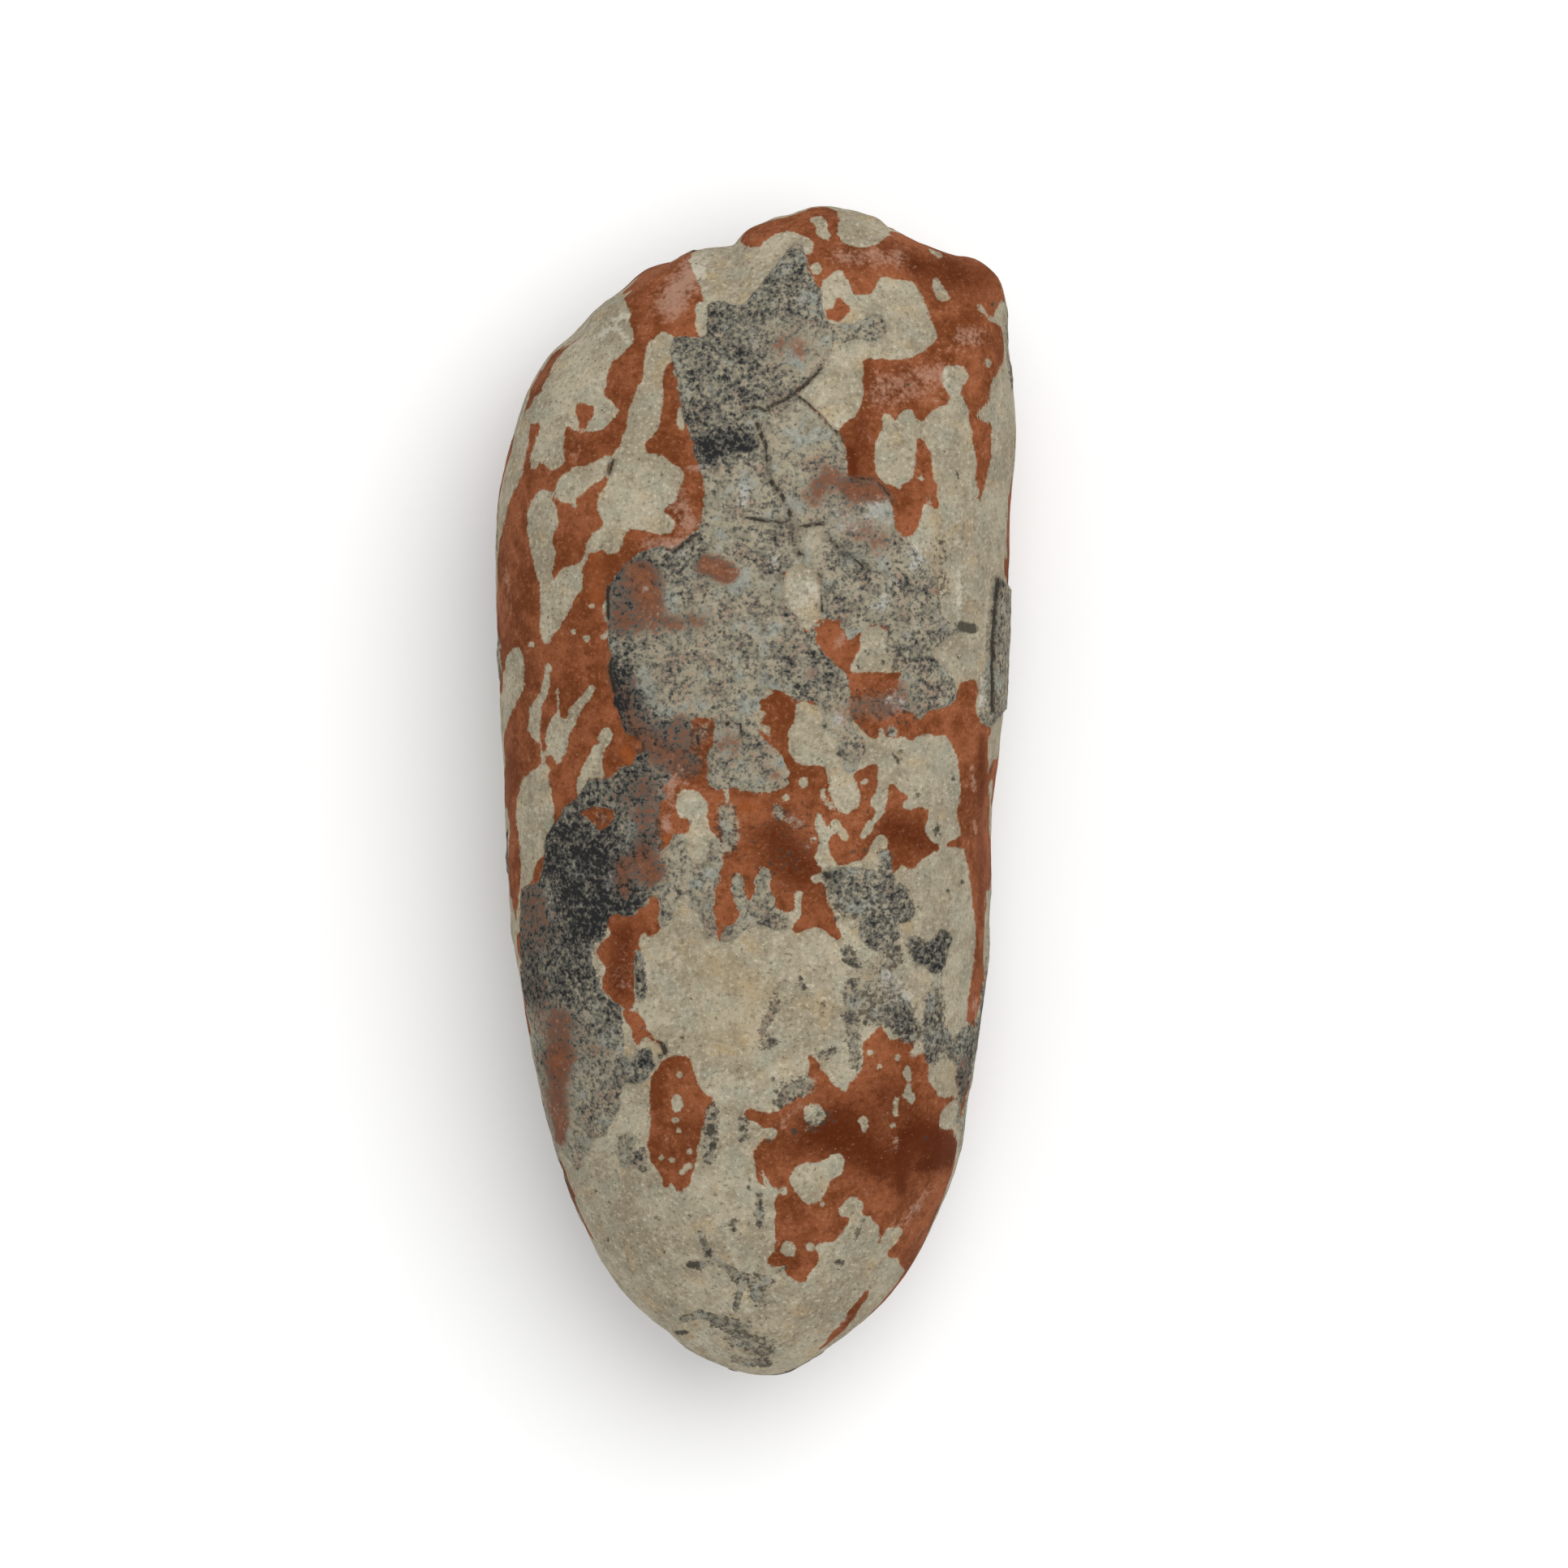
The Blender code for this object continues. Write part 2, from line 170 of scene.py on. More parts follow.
# Cream siltstone, as closed outlines from above.
CREAM_PATCHES = [
    FINGER,
    # The large patch of the upper left shoulder and its strip along the rim.
    [(-22, 74.6), (-20.8, 74.2), (-19.6, 73.6), (-19, 72.6), (-18.7, 71.8), (-18.9, 70),
     (-18.3, 68.3), (-18.5, 67.2), (-19.2, 66.3), (-20.4, 65.2), (-21.4, 64.3),
     (-21.9, 63.4), (-22.3, 62), (-22.4, 61.2), (-22.8, 59.7), (-22, 58.8), (-21.5, 58.1),
     (-20.7, 57.3), (-20.7, 56.6), (-21.3, 55.9), (-22.1, 55.1), (-22.8, 54.2),
     (-24.1, 53.9), (-26, 53.9), (-27.1, 54.2), (-28.2, 54.7), (-28.6, 54), (-28.6, 52.5),
     (-29, 51.2), (-28.6, 49.9), (-29.1, 48.8), (-29.9, 48.3), (-31, 48.3), (-31.7, 49),
     (-32.2, 49.7), (-32.5, 48.8), (-33.2, 48.4), (-33.8, 49), (-33.9, 50.1),
     (-33.4, 51.2), (-33, 52.7), (-32.5, 54.2), (-32.5, 55.3), (-33.4, 55.1),
     (-33.7, 55.1), (-33.95, 53.8), (-33.95, 52.3), (-34.3, 51), (-34.7, 49.7),
     (-35.1, 48), (-35.7, 46.2), (-36.3, 44.7), (-36.9, 43.2), (-37.4, 41.2),
     (-37.9, 39.9), (-38.4, 38.4), (-42, 38), (-42, 50), (-38.5, 57.8), (-35.5, 57.5),
     (-34.1, 57.3), (-33.5, 57.9), (-33.2, 59), (-32.2, 59.9), (-31.7, 61.2), (-31, 62.5),
     (-30.6, 63.8), (-29.6, 64.9), (-29.1, 66), (-28.75, 66.9), (-30.2, 68.6), (-28, 71.5),
     (-25.5, 74.5), (-23, 76.5)],
    # The long tongue beside it, and the three blots that it runs into.
    [(-13.9, 69), (-14.55, 68.4), (-16, 67.1), (-16.5, 65.3), (-16.8, 63.4), (-17, 61.6),
     (-17.8, 60.3), (-18.2, 58.8), (-19, 57.3), (-19.4, 55.8), (-19.5, 54), (-20, 52.7),
     (-20.6, 51.6), (-21.3, 50.8), (-21.4, 49.4), (-18, 49.2), (-16.3, 50.1), (-16.5, 51.6),
     (-16.3, 52.5), (-15.2, 53.6), (-14.4, 54.9), (-14.1, 56.8), (-13.8, 59.7),
     (-13.9, 62), (-13.5, 63.6), (-12.6, 64.5), (-12.5, 66.4), (-12.05, 67.7),
     (-12.8, 68.5)],
    [(-16.3, 50.6), (-14.8, 50.6), (-13.5, 50.1), (-12.4, 49), (-11.1, 48.2),
     (-10.75, 47.3), (-11.3, 45.6), (-11.95, 44), (-13, 42.75), (-13.7, 42.1),
     (-12.4, 41), (-12.2, 39.5), (-12.8, 38.6), (-14.55, 38.4), (-16.1, 38.85),
     (-17.8, 39.3), (-19.1, 39.1), (-19.75, 38), (-20.2, 36.7), (-21.05, 35.6),
     (-21.8, 35.4), (-23, 36.2), (-24.1, 35.8), (-25.3, 36), (-25.1, 37.5),
     (-24.1, 38.85), (-23, 39.7), (-23.2, 41), (-23.65, 42.3), (-23.65, 43.8),
     (-23.2, 44.9), (-22.35, 46), (-22, 47.5), (-21.4, 49.5), (-19, 50.4)],
    [(-21.7, 50.2), (-23, 50), (-24.1, 49.5), (-25.6, 48.7), (-27.1, 48.6), (-28.6, 47.7),
     (-29.6, 46.4), (-29.9, 45.35), (-30.6, 44.9), (-29.9, 44.2), (-29.1, 43.4),
     (-28, 43.2), (-26.9, 42.5), (-27.1, 43.2), (-26.9, 44.05), (-25.6, 44.9),
     (-24.5, 45.9), (-23.65, 46.3), (-22.6, 47.1), (-22.1, 48.6)],
    [(-30.6, 44.7), (-31.7, 45.1), (-33, 44.7), (-33.6, 43.8), (-34.1, 42.1),
     (-34.3, 40.15), (-34.1, 38), (-33.7, 36), (-33.4, 34.1), (-32.8, 32.3),
     (-32.4, 30.5), (-32.35, 28), (-32.35, 26), (-32.2, 24), (-31.95, 23), (-31.4, 22.2),
     (-30.6, 23.2), (-29.8, 24.1), (-29.2, 25), (-28.3, 26.4), (-27.7, 27.8),
     (-26.9, 29.1), (-26.2, 30), (-25.9, 30.8), (-25.9, 32), (-26, 33.5), (-25.2, 35.9),
     (-26.3, 34.5), (-27.6, 33.75), (-28.65, 33.3), (-29.5, 32.8), (-30, 31.9),
     (-30.4, 31.3), (-30.5, 32), (-30.45, 32.8), (-30.2, 34), (-30.05, 35.8),
     (-30.4, 38.2), (-29.8, 39.9), (-29.7, 41.9), (-30.2, 43.4)],
    [(-11.9, 55.8), (-11.2, 57.5), (-10.6, 54.2), (-11.2, 54.4)],
    [(-8.8, 73), (-7.2, 73.3), (-6.8, 71.2), (-7, 69.2), (-7.7, 68.1), (-8.3, 68.2),
     (-8.9, 69.2)],
    # Above the shell's upper corner, and along the broken end.
    [(-9.3, 81.3), (-9.8, 80), (-9.5, 78.5), (-9, 77), (-8.2, 75.5), (-7.9, 74.2),
     (-7.7, 73.6), (-5, 72.5), (-1.5, 72.5), (2, 76), (5.7, 81), (7, 80.6), (8, 80.6),
     (8.7, 81.6), (8.3, 82.7), (7, 83.4), (5.9, 83.9), (4, 83.9), (2.7, 83.4), (2, 82.9),
     (0.95, 81.9), (-0.25, 81.4), (-1.66, 81.9), (-2.4, 82.7), (-2.8, 85.5), (-9.5, 84)],
    [(8.3, 85.9), (10.4, 85.8), (10.6, 84.4), (11.2, 82.7), (10.3, 82.7), (9.4, 83.5),
     (8.75, 84.8)],
    [(12.5, 85.5), (12.4, 83.5), (13.5, 82.2), (15.25, 81.6), (17, 81.7), (18.7, 82.5),
     (19.8, 83.3), (20.2, 84.8), (20.5, 88), (12.8, 89)],
    [(10.05, 76.4), (10.9, 77), (11.5, 77.7), (12.9, 78.1), (13.7, 77), (14.2, 76),
     (14.6, 74.65), (15.9, 74.4), (17, 74.65), (18.1, 75.7), (18.5, 76.8), (19.9, 77),
     (22, 76.7), (23.4, 76.2), (24.7, 74.9), (25.4, 73.6), (26, 71.6), (26.7, 69.9),
     (27.1, 67.9), (26.35, 67.1), (25.6, 66.4), (24.3, 65.5), (22.8, 65), (20.6, 64.6),
     (18, 64.8), (16.3, 64.6), (16.2, 63.6), (16.1, 62.3), (16.3, 59.9), (15.95, 58.1),
     (15, 56.6), (14, 55.65), (12.8, 54.7), (11.9, 54.1), (10.8, 55.3), (9.8, 56.5),
     (8.8, 57.5), (7.8, 58.4), (6.5, 59), (6.2, 59.6), (7.67, 61), (8.75, 62.3),
     (10.05, 63.8), (10.9, 65.5), (11.8, 67.5), (11, 69.5), (10.3, 71.2), (9.8, 73),
     (9.8, 75)],
    [(26.6, 76.6), (27.4, 76.8), (28.1, 75.5), (29.06, 74), (28.6, 73.5), (27.5, 73.6),
     (26.7, 74.9)],
    [(25.8, 81.8), (27.1, 81.2), (28.1, 80.3), (26.9, 80.1), (26, 81.2)],
    [(33.2, 72.9), (34.05, 71.6), (35.6, 70.5), (36.9, 69.6), (37.6, 71.5), (36.9, 73.7),
     (36, 71.9), (35.2, 71.4), (34.2, 72.3)],
    # The right shoulder, down the right rim to the middle.
    [(28.1, 60.8), (28.4, 63.6), (29.9, 64), (31.7, 63.4), (31.9, 62.05), (31.2, 61),
     (30.8, 59.9), (31.45, 58.4), (32, 56.8), (32.1, 55.3), (32.5, 53.2), (32.9, 51),
     (33, 48.8), (33.1, 46.65), (33.3, 44.5), (33.5, 43), (33.7, 43.4), (34.3, 45.35),
     (34.7, 47.5), (35.1, 49.7), (35.35, 51.9), (35.5, 54.2), (34.9, 55.3), (33.6, 55.5),
     (33, 56.4), (33.8, 57.5), (34.9, 58.1), (35.1, 60.3), (35.6, 61.4), (36.2, 62.7),
     (36.9, 64), (37.5, 64.9), (42, 66), (42, 30), (42, -6), (35.3, -5.9), (35, -5),
     (34.7, -3), (34.7, 0), (34.8, 4), (34.9, 6), (35, 8), (35.2, 9.7), (34.5, 9.9),
     (33.7, 10.5), (33.2, 11.5), (33, 12.5), (33, 13.5), (33.4, 14.5), (33.4, 15.8),
     (33, 16.6), (32, 16.6), (31, 16.5), (30.3, 15.8), (30, 14.5), (29.5, 13.3),
     (28.5, 12.8), (27, 12.4), (26, 12.1), (25.3, 11.6), (24.5, 10.8), (23.5, 11.9),
     (22, 12.6), (21.3, 14.5), (21.7, 16), (22, 17.5), (22.4, 19), (21, 26), (20.5, 33),
     (22.3, 38), (23.2, 38.2), (24.1, 39.1), (24.5, 40.15), (24.9, 41.7), (25.2, 43.2),
     (26, 43), (26.9, 42.3), (27.55, 42.75), (27.4, 44), (27.1, 45.6), (26.8, 47.3),
     (26.5, 49.3), (26, 51.2), (25.4, 52.5), (24.5, 52.9), (24.1, 51.9), (24, 49.9),
     (23.9, 47.95), (23.2, 46.65), (21.9, 46), (19.7, 46.1), (18.7, 46.9), (18, 47.95),
     (17.8, 49.7), (18, 51.6), (18.4, 53.2), (19.1, 54.5), (19.1, 56.4), (20.2, 56.5),
     (21, 55.5), (21.5, 56.4), (22.3, 57.3), (23.4, 57.1), (24.7, 55.5), (26, 56.6),
     (26.9, 57.3), (28, 57.7), (29.1, 58.1), (29, 59.3)],
    # Small leaves and drops on the red of the left side.
    [(-36, 21.6), (-36.9, 20.8), (-37.7, 19.6), (-38.1, 18), (-42, 17), (-42, 11.5),
     (-38.1, 11), (-37.7, 10.5), (-37.8, 9.7), (-37.3, 10.2), (-36.6, 11.7), (-35.7, 13.5),
     (-35.1, 15.2), (-34.7, 17.2), (-34.7, 19), (-34.9, 20.6)],
    [(-31, 19.3), (-31.5, 18.7), (-31.7, 17), (-32.2, 15.3), (-33, 13.9), (-33.8, 12.8),
     (-34.1, 11.5), (-34.1, 10), (-33.8, 8.7), (-33.2, 7.8), (-32.4, 7.2), (-32.2, 6),
     (-32, 5), (-31.8, 4), (-31.5, 5), (-31.9, 6.3), (-32.3, 8.5), (-32.3, 10),
     (-32.2, 11.5), (-31.9, 13), (-31.4, 14.2), (-30.9, 15.5), (-30.9, 17), (-30.7, 18.8)],
    [(-29.8, 15.3), (-29.9, 13.5), (-29.7, 12), (-30.4, 11.2), (-31, 10), (-31.5, 8.8),
     (-31.6, 7.5), (-31.3, 6.2), (-31.9, 5.6), (-31, 5.4), (-30.5, 5.3), (-30, 4.5),
     (-29.5, 4), (-28.9, 5.2), (-28.3, 6), (-28, 7.3), (-27.8, 8.5), (-27.3, 9.5),
     (-26.7, 10.8), (-26, 12.2), (-25, 13.5), (-24.3, 14.7), (-24.2, 15.9), (-25.1, 15.4),
     (-26, 14.4), (-27.2, 13.2), (-28, 12.3), (-28.2, 11.3), (-28.6, 10.9), (-29.3, 11.6),
     (-29.6, 12.5), (-29.5, 14)],
    [(-23.3, 9), (-22.6, 9.5), (-21.8, 9.3), (-21.4, 8.6), (-21.6, 7.7), (-22.3, 6.8),
     (-22.8, 6.3), (-22.9, 5.8), (-22.9, 4.5), (-22.9, 3), (-22.7, 2), (-24, 2.1),
     (-25, 1.6), (-25.4, 0.9), (-25.8, 0.2), (-26.3, -0.6), (-26.8, -0.5), (-26.9, 0.3),
     (-26.7, 1.5), (-26.4, 2.6), (-26, 3.7), (-25.3, 4.8), (-24.7, 5.8), (-24.2, 6.8),
     (-23.6, 6.9), (-23.3, 7.3), (-23.6, 7.8), (-23.7, 8.3)],
    [(-32.3, 4), (-31.4, 4.1), (-30.9, 3.3), (-30.9, 1.8), (-30.6, 0), (-30.3, -2),
     (-30.2, -3.5), (-30.3, -5), (-30.6, -6), (-31.1, -6.7), (-31.4, -8.5), (-32, -9.6),
     (-33, -10.8), (-33.4, -12), (-33.5, -13), (-33.8, -13.9), (-34.8, -14.6),
     (-35, -16), (-35, -18), (-35.3, -21), (-35.8, -21), (-35.8, -18), (-35.5, -15),
     (-35.3, -13), (-35.3, -9), (-35.6, -6.5), (-35.9, -4), (-35.8, -1.5), (-35.5, 0.3),
     (-34.9, 1.6), (-34.2, 2.6), (-33.3, 3.2)],
    # Bare cream inside the shell of the crown.
    LOZENGE,
    [(15.9, 24.2), (17, 24.8), (18.5, 24.8), (19.8, 24), (21.5, 22.5), (22, 19.9),
     (22.3, 19), (22.2, 18), (21, 17.8), (19, 17.8), (17, 17.9), (15, 17.7), (14.2, 18.2),
     (14.2, 19), (14.9, 19.6), (15.2, 20.4), (15.6, 21), (15.6, 22.6), (15.8, 23.5)],
    [(2.3, 15.6), (1.6, 15.5), (0.9, 14.7), (0.5, 13.7), (0.3, 12.6), (-0.3, 11.6),
     (-0.4, 11), (0, 10.2), (0.3, 9.3), (0.7, 8.3), (1.2, 7.6), (1.7, 7.5), (1.9, 8.3),
     (2.2, 9), (1.9, 9.8), (1.7, 10.8), (1.7, 12), (1.7, 13.3), (2, 14.3), (2.6, 15),
     (3.2, 15.3)],
    # The branching patch right of the middle.
    [(6.2, 13.2), (7, 13.4), (8.5, 13), (10, 13), (12, 14), (13.8, 16), (13.9, 14.5),
     (14.1, 13), (14.2, 12), (14.5, 10.8), (15.2, 10), (16, 9.2), (16.7, 8.3),
     (17.6, 7.9), (18.5, 7.9), (18.7, 9.4), (19.3, 8.3), (21, 8.1), (22.3, 8), (23, 7.4),
     (23.8, 7.6), (24.1, 8.2), (25.8, 8.5), (27, 8.3), (28.4, 8.2), (29, 7.7),
     (29.5, 6.8), (30, 5.8), (30.3, 4.5), (30.5, 3), (30.7, 0), (30.6, -1.5),
     (30.2, -2.8), (30.3, -4), (30.6, -5.5), (30.7, -6.5), (29.8, -7.2), (29, -7.4),
     (28.4, -7.9), (28.4, -9), (27.6, -9), (27.5, -8), (26.3, -7.3), (25.7, -6.5),
     (25.4, -5.5), (25.7, -4.5), (26.1, -3.7), (25.9, -3), (25.3, -2.4), (24.5, -2.4),
     (23.7, -2.7), (22.8, -2.7), (22, -2.3), (22.2, -1.6), (22.8, -1.2), (22.5, -0.6),
     (21.9, 0), (21, 0.7), (20.2, 1.1), (20, 0), (19.6, -1), (19.6, -2), (19.5, -3),
     (18.8, -3.7), (18, -4.5), (17.6, -5.2), (17.3, -6), (16.8, -6.8), (16.2, -7.4),
     (15.7, -6.8), (16.1, -6), (16.5, -5.2), (17, -4.4), (17.7, -3.8), (17.8, -3),
     (17.2, -2.2), (17.2, -1.3), (17.8, -0.4), (18.2, 0.5), (18.3, 2), (18.2, 3.8),
     (17.8, 4.3), (16.8, 3.9), (15.8, 3.3), (15, 2.8), (14.8, 2), (15.1, 1.3),
     (15.4, 0.5), (15.6, -0.5), (15.6, -1.5), (15.2, -2.4), (14.5, -3), (13.6, -3.4),
     (13, -3.2), (12.3, -2.7), (11.9, -2), (11.5, -1), (11.1, 0), (10.9, 1), (10.8, 2),
     (10.7, 2.8), (10.3, 3.6), (9.5, 3.9), (8, 4), (6.5, 4.1), (5.7, 4.8), (5.2, 5.8),
     (5, 6.8), (4.8, 8), (4.8, 8.8), (5.2, 9.6), (5.7, 10.3), (6, 11.3), (6.1, 12.5)],
    # The finger left of the middle, and the great field of the lower half.
    [(-10.3, 0.1), (-9.3, 0.3), (-8.3, -0.4), (-7.4, -1), (-7.1, -2), (-7.1, -3),
     (-7.5, -3.8), (-7.1, -4.2), (-6.8, -5.5), (-6.2, -6.5), (-5.7, -7.3), (-5.1, -8.5),
     (-5, -9.7), (-5.2, -11), (-5.5, -12.5), (-5.7, -14), (-6.2, -15.3), (-6.4, -16.5),
     (-6.5, -17.5), (-6.4, -18.5), (-6.2, -19.5), (-6, -20.5), (-5.8, -24), (-14, -24),
     (-14.4, -17), (-14.6, -15), (-14.5, -13), (-14.2, -11), (-13.8, -9), (-12.2, -7),
     (-10.2, -6.2), (-9.5, -5.5), (-9.8, -4.4), (-10.3, -4.1), (-11.3, -3.8),
     (-11.9, -2.5), (-11.7, -1.3), (-10.8, 0.5)],
    [(-6, -22), (-5.2, -22.4), (-4.5, -20.6), (-3.5, -20), (-2.6, -19.2), (-2.3, -18),
     (-2.9, -17), (-3.2, -16), (-3.4, -14.5), (-3.1, -13), (-2.6, -12.3), (-2.1, -13),
     (-1.9, -14.5), (-1.6, -15.7), (-1, -16.5), (-0.5, -16), (-0.1, -15), (0, -13.7),
     (0.3, -12.7), (0.8, -11.8), (1.5, -11.4), (2, -12), (2, -14.7), (2.5, -15.7),
     (2.7, -16.8), (3.2, -17.8), (4.1, -18.4), (5, -18.1), (5.7, -17.6), (5.8, -16.5),
     (5.9, -15.3), (6.2, -14.8), (6.8, -14.8), (7.3, -15.2), (7, -16), (6.9, -17),
     (6.8, -18), (6.5, -19), (6, -19.8), (5.4, -20.6), (5.4, -20.9), (5.7, -21.3),
     (6.7, -21.2), (7.5, -20.7), (8.7, -20.4), (9.7, -20.5), (10.6, -21.2),
     (11.4, -21.9), (12.2, -22.2), (12.8, -21.9), (12.7, -21.2), (12.3, -20.2),
     (11.9, -18.9), (11.4, -18), (11.2, -17), (10.9, -16), (10.6, -15), (10.4, -14),
     (9.8, -13.6), (9, -13.9), (8.3, -13.3), (8.1, -12.5), (8.6, -12.5), (9.9, -11.8),
     (9.4, -11), (9, -10.2), (9, -9.5), (9.1, -8.5), (9.4, -7.5), (9.1, -6.2), (8.9, -5),
     (9, -3.5), (9.5, -3.2), (9.9, -3.4), (10.2, -4.3), (10.3, -5), (10.8, -5.3),
     (11.3, -4.6), (11.9, -4.2), (12.5, -4.4), (12.8, -5), (13.3, -5.7), (13.9, -6.3),
     (14, -7), (13.5, -7.5), (12.8, -7.2), (12.4, -6.5), (12, -6.2), (11.3, -6.9),
     (10.9, -7.8), (10.9, -9), (11.4, -10), (12.2, -10.7), (13.2, -11), (14.5, -10.6),
     (16, -10.1), (17, -9.3), (17.1, -8.3), (17.6, -7.7), (18.2, -6.9), (18.8, -6.4),
     (19.5, -6.4), (19.7, -7.2), (19.8, -8), (19.7, -9), (20.1, -10), (20.3, -11),
     (19.9, -12), (20.1, -12.6), (20.7, -12.3), (21.4, -11.8), (22, -11.1),
     (22.7, -11.5), (23.5, -11.4), (24.4, -10.8), (25.2, -10), (26, -9.5), (27, -9),
     (27.8, -8.5), (28.9, -8.4), (29.8, -8.3), (30.6, -8.5), (31.2, -8.8), (31.4, -9.5),
     (31.6, -10.5), (32, -12), (32.2, -13.5), (32.4, -15), (32.5, -17), (32.7, -18.5),
     (32.9, -20), (33, -22), (32.8, -24), (32.7, -25.5), (32.5, -27), (32.2, -29),
     (31.9, -31), (31.7, -33), (31.6, -34.5), (36, -36), (36, -50), (33, -62), (28, -72),
     (20, -82), (6, -92), (-10, -91), (-22, -82), (-32, -66), (-38, -48), (-40, -27),
     (-25, -27), (-24.7, -25), (-24.3, -22.5), (-23, -21), (-22.3, -19), (-19, -18),
     (-15.5, -17.5), (-12, -19)],
]

